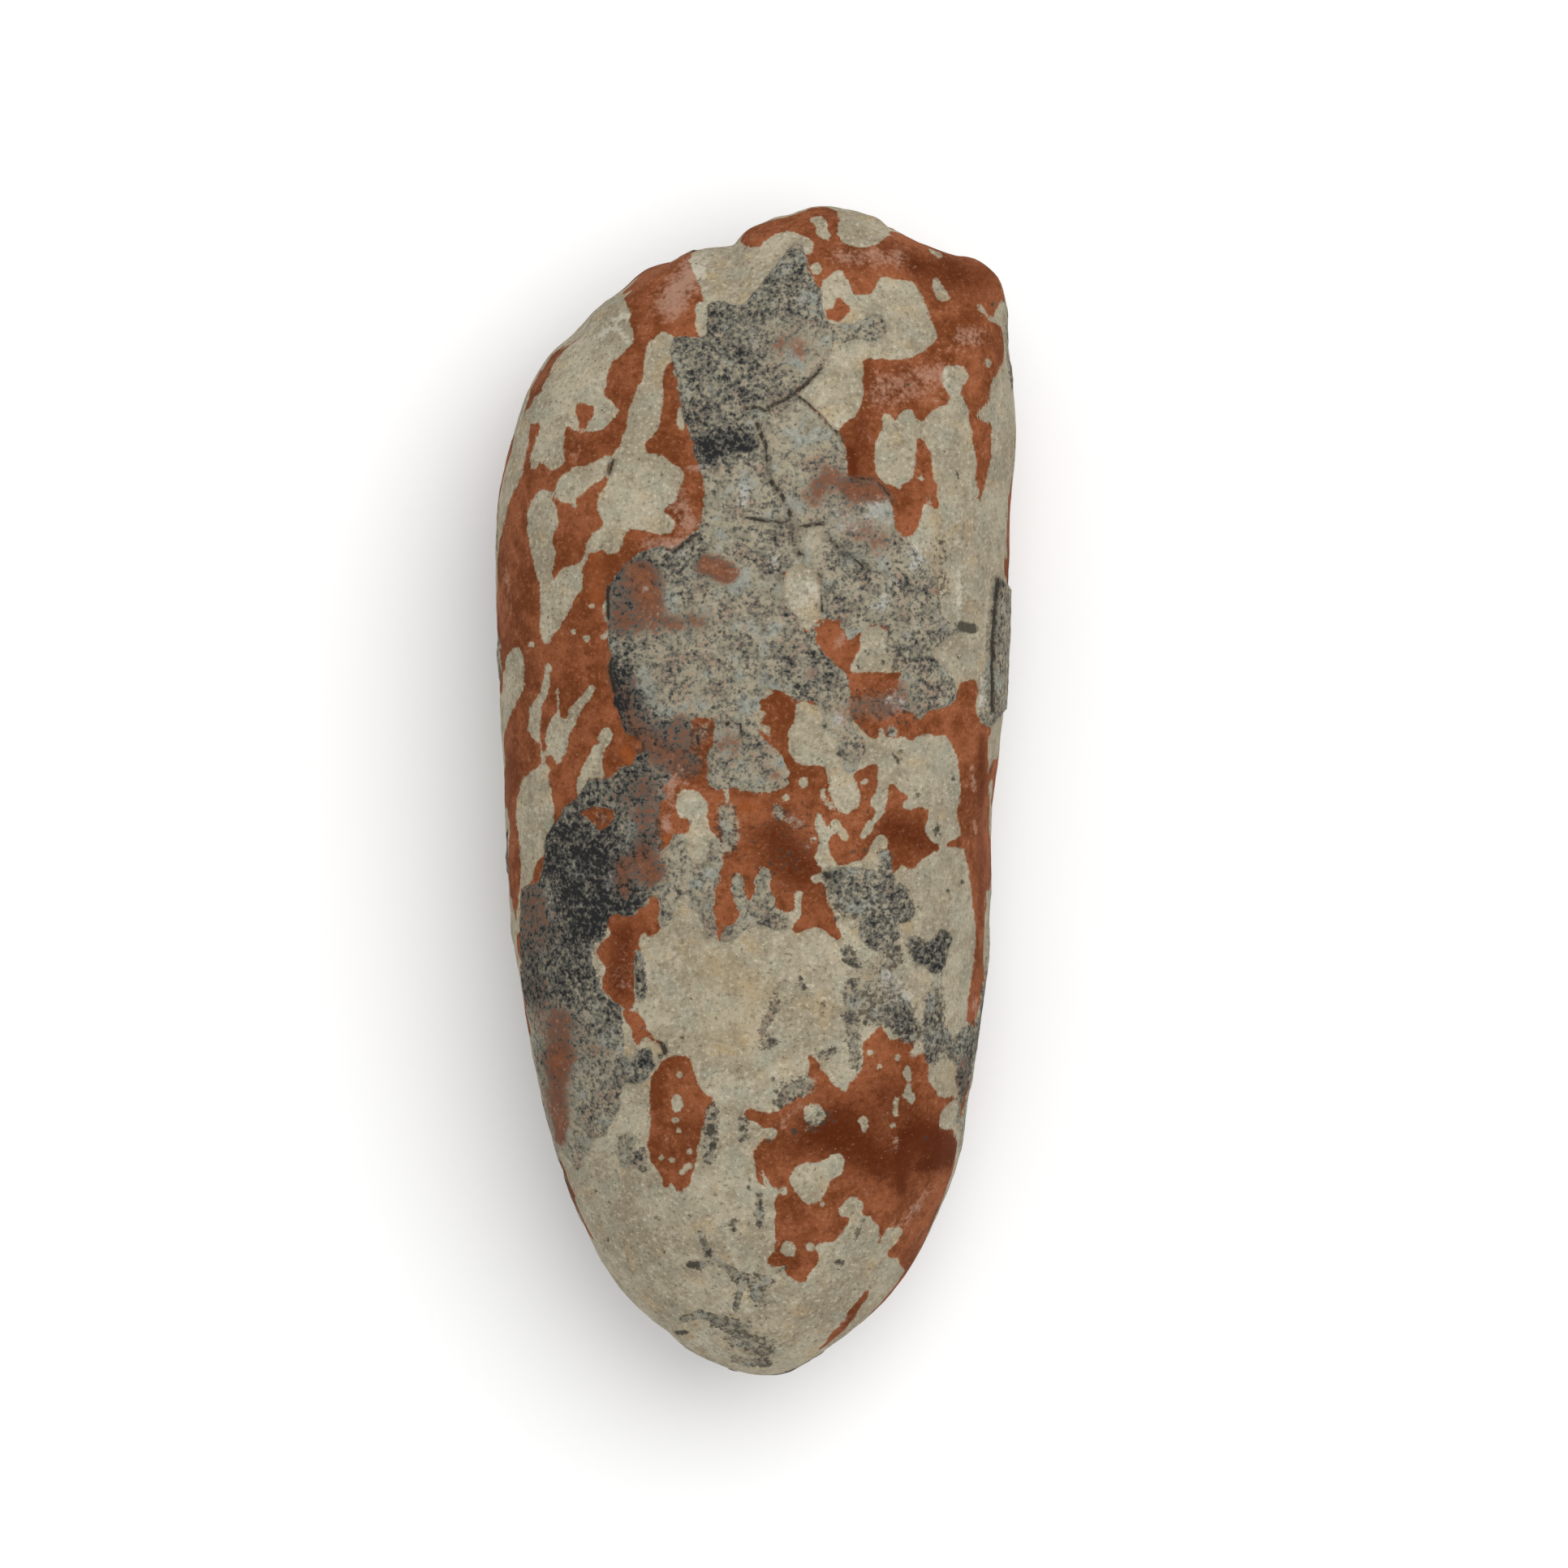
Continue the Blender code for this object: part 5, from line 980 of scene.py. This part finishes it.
def beyond_photo(points, seen, upward):
    """How far each point is out of the camera's view: 0 in plain view, 1 underneath.

    The flake at the right rim counts as seen, down to its ragged lower end.
    """
    faded = 1.0 - smoothstep(*FADING_LEAN, upward)
    hidden = np.where(points[:, 2] > GIRTH_HEIGHT, faded, 1.0)
    flake = smoothstep(-0.5, 0.5, patch_depth(seen, [FLAKE]))
    ragged = points[:, 2] + RAG_REACH * noise_at(points, RAG_SIZE, 21.0)
    return hidden * (1.0 - flake * smoothstep(*FLAKE_ENDS, ragged))


def painted_markings(seen):
    """The markings that the photograph shows, at those places of the camera's view."""
    cream = np.minimum(patch_depth(seen, CREAM_PATCHES), -patch_depth(seen, RED_PATCHES))
    cream = np.maximum(cream, patch_depth(seen, CREAM_SPOTS))
    return {
        "cream": np.maximum(cream, stroke_depth(seen, CREAM_DOTS)),
        "shell": np.minimum(patch_depth(seen, SHELL_PLATES), -patch_depth(seen, SHELL_GAPS)),
        "tone": shell_tone(seen),
        "pepper": brushed(seen, PEPPER),
        "rust": brushed(seen, RUST),
        "dust": brushed(seen, DUST),
        "deep": brushed(seen, DEEP),
        "crack": crack_depth(seen),
        "speck": stroke_depth(seen, SPECKS),
    }


def guessed_markings(points):
    """Markings like the painted ones, from noise, for the sides and the underside."""
    folds = [noise_at(points, FOLD_SIZE, shift) for shift in (1.0, 4.0, 8.0)]
    bent = points + FOLD_REACH * np.stack(folds, axis=1)
    cream = noise_at(bent, CREAM_SIZE, 3.0) + 0.4 * noise_at(bent, CREAM_SIZE / 2.5, 6.0)
    shell = noise_at(bent, SHELL_SIZE, 9.0) + 0.35 * noise_at(bent, SHELL_SIZE / 3, 2.0)
    tone = noise_at(points, TONE_SIZE, 12.0)
    drift = noise_at(points, DRIFT_SIZE, 15.0)
    return {
        "cream": np.clip(8.0 * cream + 0.6, -EDGE_REACH, EDGE_REACH),
        "shell": np.clip(9.0 * shell - 2.2, -EDGE_REACH, EDGE_REACH),
        "tone": 0.55 + 0.5 * tone,
        "pepper": np.maximum(0.0, drift - 0.3),
        "rust": np.maximum(0.0, tone - 0.2),
        "dust": np.maximum(0.0, -drift - 0.2),
        "deep": 0.5 * drift,
        "crack": -EDGE_REACH,
        "speck": -EDGE_REACH,
    }


def markings(points, seen, hidden):
    """Every marking of the surface, one value for each point."""
    painted, guessed = painted_markings(seen), guessed_markings(points)
    return {name: painted[name] * (1.0 - hidden) + guessed[name] * hidden for name in painted}


def relief(points, marks, hidden):
    """How far each point stands out: the shell plates, their cracks and the grain."""
    shell = smoothstep(*SHELL_EDGE, marks["shell"])
    rise = SHELL_THICKNESS * shell * (1.0 - HIDDEN_SHELL_THINNING * hidden)
    rise -= CRACK_DEPTH * smoothstep(*CRACK_EDGE, marks["crack"]) * shell
    grain = STONE_GRAIN_RISE + (SHELL_GRAIN_RISE - STONE_GRAIN_RISE) * shell
    return rise + grain * noise_at(points, GRAIN_LUMPS, 3.0)


def cut_to_triangles():
    """Splits the squares along their shorter diagonals, so edges of colour run smoothly."""
    bpy.ops.object.mode_set(mode="EDIT")
    bpy.ops.mesh.select_all(action="SELECT")
    bpy.ops.mesh.quads_convert_to_tris(quad_method="SHORTEST_DIAGONAL")
    bpy.ops.object.mode_set(mode="OBJECT")


def fossil_egg():
    """The whole egg: one solid stone with its markings painted on its points."""
    egg = gridded_block()
    egg.name = "fossil_egg_stone"
    mesh = egg.data
    points = egg_points(rounded(read_vectors(mesh, "co")))
    write_points(mesh, points)
    points = fitted(points + read_vectors(mesh, "normal") * weather_rise(points)[:, None])
    write_points(mesh, points)
    normals = read_vectors(mesh, "normal")
    seen = seen_from_camera(points)
    hidden = beyond_photo(points, seen, normals[:, 2])
    marks = markings(points, seen, hidden)
    points = points + normals * relief(points, marks, hidden)[:, None]
    points[:, 2] *= HEIGHT / points[:, 2].max()
    points[:, 2] = np.maximum(points[:, 2], 0.0)
    write_points(mesh, points * MM)
    cut_to_triangles()
    for name, values in marks.items():
        layer = mesh.attributes.new(name, "FLOAT", "POINT")
        layer.data.foreach_set("value", values.astype(np.float32))
    mesh.shade_smooth()
    mesh.materials.clear()
    mesh.materials.append(siltstone_and_shell())
    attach(egg, "root")
    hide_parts("fossil_egg")


def srgb(code):
    """A colour written as sRGB hex, as the linear values that a shader takes."""
    values = [int(code[i : i + 2], 16) / 255 for i in (0, 2, 4)]
    linear = [v / 12.92 if v <= 0.04045 else ((v + 0.055) / 1.055) ** 2.4 for v in values]
    return (*linear, 1.0)


def add(tree, kind, inputs=None, **settings):
    """Adds a node. Inputs are values or other nodes' outputs, by name or number."""
    node = tree.nodes.new("ShaderNode" + kind)
    for name, value in settings.items():
        setattr(node, name, value)
    for key, value in (inputs or {}).items():
        if isinstance(value, bpy.types.NodeSocket):
            tree.links.new(value, node.inputs[key])
        else:
            node.inputs[key].default_value = value
    return next(out for out in node.outputs if out.enabled)


# The painted markings, each an attribute of the egg's mesh.
MARKINGS = ("cream", "shell", "tone", "pepper", "rust", "dust", "deep", "crack", "speck")
# The natural unevenness of the surface: the millimetres across its lumps, how many finer
# layers lie over them, and how strong those are. Real grains of silt are under a tenth of
# a millimetre, too fine to show, so they are drawn as coarse as "fine" and "grain" are.
UNEVENNESS = {
    "drift": (9.0, 2.0, 0.5),
    "blots": (3.6, 2.0, 0.5),
    "mottle": (2.2, 3.0, 0.6),
    "edge": (1.7, 3.0, 0.6),
    "grit": (0.8, 3.0, 0.7),
    "grain": (0.62, 3.0, 0.65),
    "fine": (0.38, 1.0, 0.5),
}
# The dark grains of the shell: how far apart they are, how crookedly they lie, and the
# size of the lumps that bend them.
SHELL_GRAIN = 0.52
SHELL_WOBBLE = 0.8
WOBBLE_SIZE = 1.3
# How high the light sees the grains stand, and how much of that counts.
BUMP_HEIGHT = 0.6
BUMP_STRENGTH = 0.55


def total(tree, constant, *terms):
    """A constant and a number of fields, each times its weight."""
    result = constant
    for weight, field in terms:
        values = {0: field, 1: weight, 2: result}
        result = add(tree, "Math", values, operation="MULTIPLY_ADD")
    return result


def coat(tree, base, colour, field, low, high, cover=1.0):
    """Lays a colour over the base: none where the field is low, its full cover where high."""
    if isinstance(colour, str):
        colour = srgb(colour)
    limits = {0: field, 1: low, 2: high, 3: 0.0, 4: cover}
    share = add(tree, "MapRange", limits, interpolation_type="SMOOTHSTEP")
    return add(tree, "Mix", {0: share, 6: base, 7: colour}, data_type="RGBA")


def surface_fields(tree):
    """The painted markings, and the unevenness that their colours and edges follow."""
    place = add(tree, "TexCoord").node.outputs["Object"]
    fields = {"place": place}
    for name in MARKINGS:
        fields[name] = add(tree, "Attribute", attribute_name=name).node.outputs["Fac"]
    for name, (size, octaves, roughness) in UNEVENNESS.items():
        fields[name] = add(tree, "TexNoise", {
            "Vector": place, "Scale": 1.0 / (size * MM), "Detail": octaves,
            "Roughness": roughness,
        })
    lumps = {"Vector": place, "Scale": 1.0 / (WOBBLE_SIZE * MM), "Detail": 2.0}
    wobble = add(tree, "TexNoise", lumps)
    reach = {0: wobble.node.outputs["Color"], 1: (SHELL_WOBBLE * MM,) * 3, 2: place}
    bent = add(tree, "VectorMath", reach, operation="MULTIPLY_ADD")
    fields["dots"] = add(tree, "TexVoronoi", {"Vector": bent, "Scale": 1.0 / (SHELL_GRAIN * MM)})
    fields["cloud"] = total(tree, 0.0, (0.5, fields["drift"]), (0.5, fields["mottle"]))
    return fields


def red_stone(tree, f):
    """Brick red siltstone: drifts of iron, a fine clay mottle and grains of pale silt."""
    red = coat(tree, srgb("643419"), "874F32", f["cloud"], 0.38, 0.62)
    red = coat(tree, red, "9C6C4D", f["grain"], 0.52, 0.75, 0.5)
    red = coat(tree, red, "44200F", f["grain"], 0.47, 0.26, 0.6)
    red = coat(tree, red, "4A2A1B", f["grit"], 0.42, 0.28, 0.5)
    stain = total(tree, -0.9, (1.0, f["deep"]), (1.0, f["mottle"]), (0.8, f["grit"]))
    red = coat(tree, red, "481A02", stain, 0.1, 0.9, 0.85)
    red = coat(tree, red, "8F4D24", stain, -0.15, -0.8, 0.7)
    return coat(tree, red, "B79F86", f["fine"], 0.71, 0.8, 0.4)


def cream_stone(tree, f):
    """Siltstone leached of its iron: greyish, ochre or green in blots, with dark pits; painted
    shade greys its right side.
    """
    cream = coat(tree, srgb("867C68"), "A29984", f["cloud"], 0.37, 0.63)
    cream = coat(tree, cream, "8B8B7A", f["blots"], 0.52, 0.7, 0.6)
    cream = coat(tree, cream, "A58E69", f["blots"], 0.45, 0.28, 0.45)
    cream = coat(tree, cream, "BDB39D", f["grain"], 0.52, 0.76, 0.85)
    cream = coat(tree, cream, "5C5343", f["grain"], 0.47, 0.25, 0.85)
    cream = coat(tree, cream, "484235", f["fine"], 0.34, 0.22, 0.55)
    cream = coat(tree, cream, "9C8660", f["rust"], 0.05, 0.8, 0.7)
    painted_shade_rightward = add(tree, "SeparateXYZ", {0: f["place"]})
    # Painted shade: from 8 to 30 mm right of the middle the cream turns greyer and darker,
    # standing in for weaker light on that flank.
    return coat(tree, cream, "5C584E", painted_shade_rightward, 8 * MM, 30 * MM, 0.16)


def calcite_shell(tree, f, powder):
    """Eggshell: worn calcite, green, pink and grey in blots, closely set with dark grains.

    Where it is most rusty, the shell is worn through to the stone.
    """
    shell = coat(tree, srgb("7D7766"), "978E79", f["mottle"], 0.35, 0.65)
    shell = coat(tree, shell, "8D7462", f["blots"], 0.52, 0.68, 0.55)
    shell = coat(tree, shell, "7F8580", f["blots"], 0.46, 0.32, 0.6)
    rusty = total(tree, -1.15, (1.0, f["rust"]), (1.3, f["mottle"]), (1.0, f["grit"]))
    shell = coat(tree, shell, "693720", rusty, 0.12, 0.65, 0.85)
    shell = coat(tree, shell, "A9A9A4", powder, 0.2, 1.0, 0.7)
    pale = total(
        tree, -0.18, (0.2, f["dots"]), (1.0, f["grit"]), (-0.43, f["tone"]),
        (-0.35, f["blots"]), (0.06, f["rust"]),
    )
    grains = coat(tree, srgb("53514A"), "5C3B28", f["rust"], 0.5, 1.1, 0.8)
    shell = coat(tree, shell, grains, pale, 0.15, -0.08, 0.95)
    shell = coat(tree, shell, "1E1F20", pale, -0.02, -0.22, 0.95)
    shell = coat(tree, shell, "BDB8A8", pale, 0.17, 0.36, 0.3)
    bare = total(tree, -1.3, (1.0, f["rust"]), (0.5, f["mottle"]), (1.2, pale))
    shell = coat(tree, shell, "784A30", bare, 0.1, 0.6, 0.65)
    return coat(tree, shell, "A4A6A5", powder, 0.5, 1.3, 0.35), pale


def stone_colour(tree, f, powder):
    """Red or cream siltstone, with dark grains of shell scattered over it, and dust."""
    edge = total(tree, -0.75, (1.0, f["cream"]), (1.2, f["edge"]), (0.3, f["fine"]))
    stone = coat(tree, red_stone(tree, f), cream_stone(tree, f), edge, -0.15, 0.15)
    sprinkled = total(tree, 0.0, (1.0, f["grit"]), (-0.6, f["pepper"]))
    stone = coat(tree, stone, "3A322A", sprinkled, 0.36, 0.2, 0.8)
    bloom = coat(tree, srgb("9C7B68"), "AFA999", edge, -0.15, 0.15)
    return coat(tree, stone, bloom, powder, 0.2, 1.0, 0.8)


def with_shell(tree, f, stone, shell):
    """The shell laid over the stone: whole in the plates, in crumbs beside them."""
    loose = total(tree, -0.7, (1.0, f["pepper"]), (0.7, f["mottle"]), (0.7, f["grit"]))
    surface = coat(tree, stone, shell, loose, 0.28, 0.5, 0.9)
    rim = total(tree, -1.2, (1.0, f["shell"]), (1.2, f["edge"]), (1.5, f["grit"]))
    return coat(tree, surface, shell, rim, -0.12, 0.12)


def with_specks(tree, f, surface):
    """Dark specks, and cracks with a soiled border on both sides."""
    grains = total(tree, -0.3, (1.0, f["speck"]), (0.6, f["fine"]))
    surface = coat(tree, surface, "39362F", grains, -0.1, 0.25, 0.9)
    surface = coat(tree, surface, "4A443A", f["crack"], -0.8, 0.0, 0.4)
    seam = total(tree, -0.4, (1.0, f["crack"]), (0.4, f["fine"]), (0.4, f["edge"]))
    return coat(tree, surface, "29251F", seam, -0.22, 0.05, 0.9)


def siltstone_and_shell():
    """Red and cream siltstone with remains of eggshell.

    The egg filled with fine silt that set to stone. Iron stains most of it a dull brick
    red, and where the iron was leached out it is a greyish cream, with a sharp edge
    between the two. Both are matt and look like dried clay. The shell is weathered
    calcite full of dark grains, so it looks like salt and pepper.
    """
    material = bpy.data.materials.new("siltstone and shell")
    material.use_nodes = True
    tree = material.node_tree
    f = surface_fields(tree)
    powder = total(tree, -1.4, (1.0, f["dust"]), (1.2, f["mottle"]), (1.6, f["grain"]))
    shell, pale = calcite_shell(tree, f, powder)
    surface = with_shell(tree, f, stone_colour(tree, f, powder), shell)
    surface = with_specks(tree, f, surface)

    bumps = add(tree, "Math", {0: pale, 1: 0.0}, operation="MAXIMUM")
    height = total(tree, 0.0, (0.6, bumps), (0.12, f["grain"]), (0.2, f["mottle"]))
    uneven = {"Height": height, "Distance": BUMP_HEIGHT * MM, "Strength": BUMP_STRENGTH}
    bump = add(tree, "Bump", uneven)
    limits = {0: f["grain"], 1: 0.3, 2: 0.7, 3: 0.74, 4: 0.92}
    roughness = add(tree, "MapRange", limits)
    shader = tree.nodes["Principled BSDF"]
    tree.links.new(surface, shader.inputs["Base Color"])
    tree.links.new(bump.node.outputs["Normal"], shader.inputs["Normal"])
    tree.links.new(roughness, shader.inputs["Roughness"])
    shader.inputs["Specular IOR Level"].default_value = 0.06
    return material


def pale_surface():
    """The plain white surface that the egg lies on."""
    bpy.ops.object.select_all(action="DESELECT")
    bpy.ops.mesh.primitive_plane_add(size=FLOOR_SIZE)
    floor = bpy.context.object
    floor.name = "pale_surface"
    material = bpy.data.materials.new("matt white paper")
    material.use_nodes = True
    shader = material.node_tree.nodes["Principled BSDF"]
    shader.inputs["Base Color"].default_value = srgb("F4F4F4")
    shader.inputs["Roughness"].default_value = 0.9
    shader.inputs["Specular IOR Level"].default_value = 0.1
    floor.data.materials.append(material)


def soft_lamp():
    """A large round lamp above and to the right, aimed at the egg."""
    data = bpy.data.lights.new("overhead right", "AREA")
    data.shape = "DISK"
    data.size = LAMP_SIZE
    data.energy = LAMP_WATTS
    lamp = bpy.data.objects.new("overhead right", data)
    bpy.context.scene.collection.objects.link(lamp)
    lamp.location = LAMP_PLACE
    aim = Vector(LAMP_TARGET) - Vector(LAMP_PLACE)
    lamp.rotation_euler = aim.to_track_quat("-Z", "Y").to_euler()


def white_room():
    """Even light from all sides, as white walls throw back."""
    world = bpy.data.worlds.new("white room")
    world.use_nodes = True
    background = world.node_tree.nodes["Background"]
    background.inputs["Color"].default_value = (1.0, 1.0, 1.0, 1.0)
    background.inputs["Strength"].default_value = ROOM_LIGHT
    bpy.context.scene.world = world


def overhead_camera():
    """A long lens straight above, far enough away that the egg's sides don't lean."""
    data = bpy.data.cameras.new("overhead camera")
    data.sensor_width = SENSOR_WIDTH
    data.lens = SENSOR_WIDTH * CAMERA_DISTANCE / PICTURE_WIDTH
    data.clip_end = CLIP_END
    camera = bpy.data.objects.new("overhead camera", data)
    bpy.context.scene.collection.objects.link(camera)
    camera.location = Vector((CAMERA_X, CAMERA_Y, GIRTH_HEIGHT + CAMERA_DISTANCE)) * MM
    bpy.context.scene.camera = camera


def studio():
    """The plain surroundings: pale floor, soft light and the camera above."""
    pale_surface()
    soft_lamp()
    white_room()
    overhead_camera()
    view = bpy.context.scene.view_settings
    view.view_transform = "Standard"
    view.look = "None"


fossil_egg()
studio()
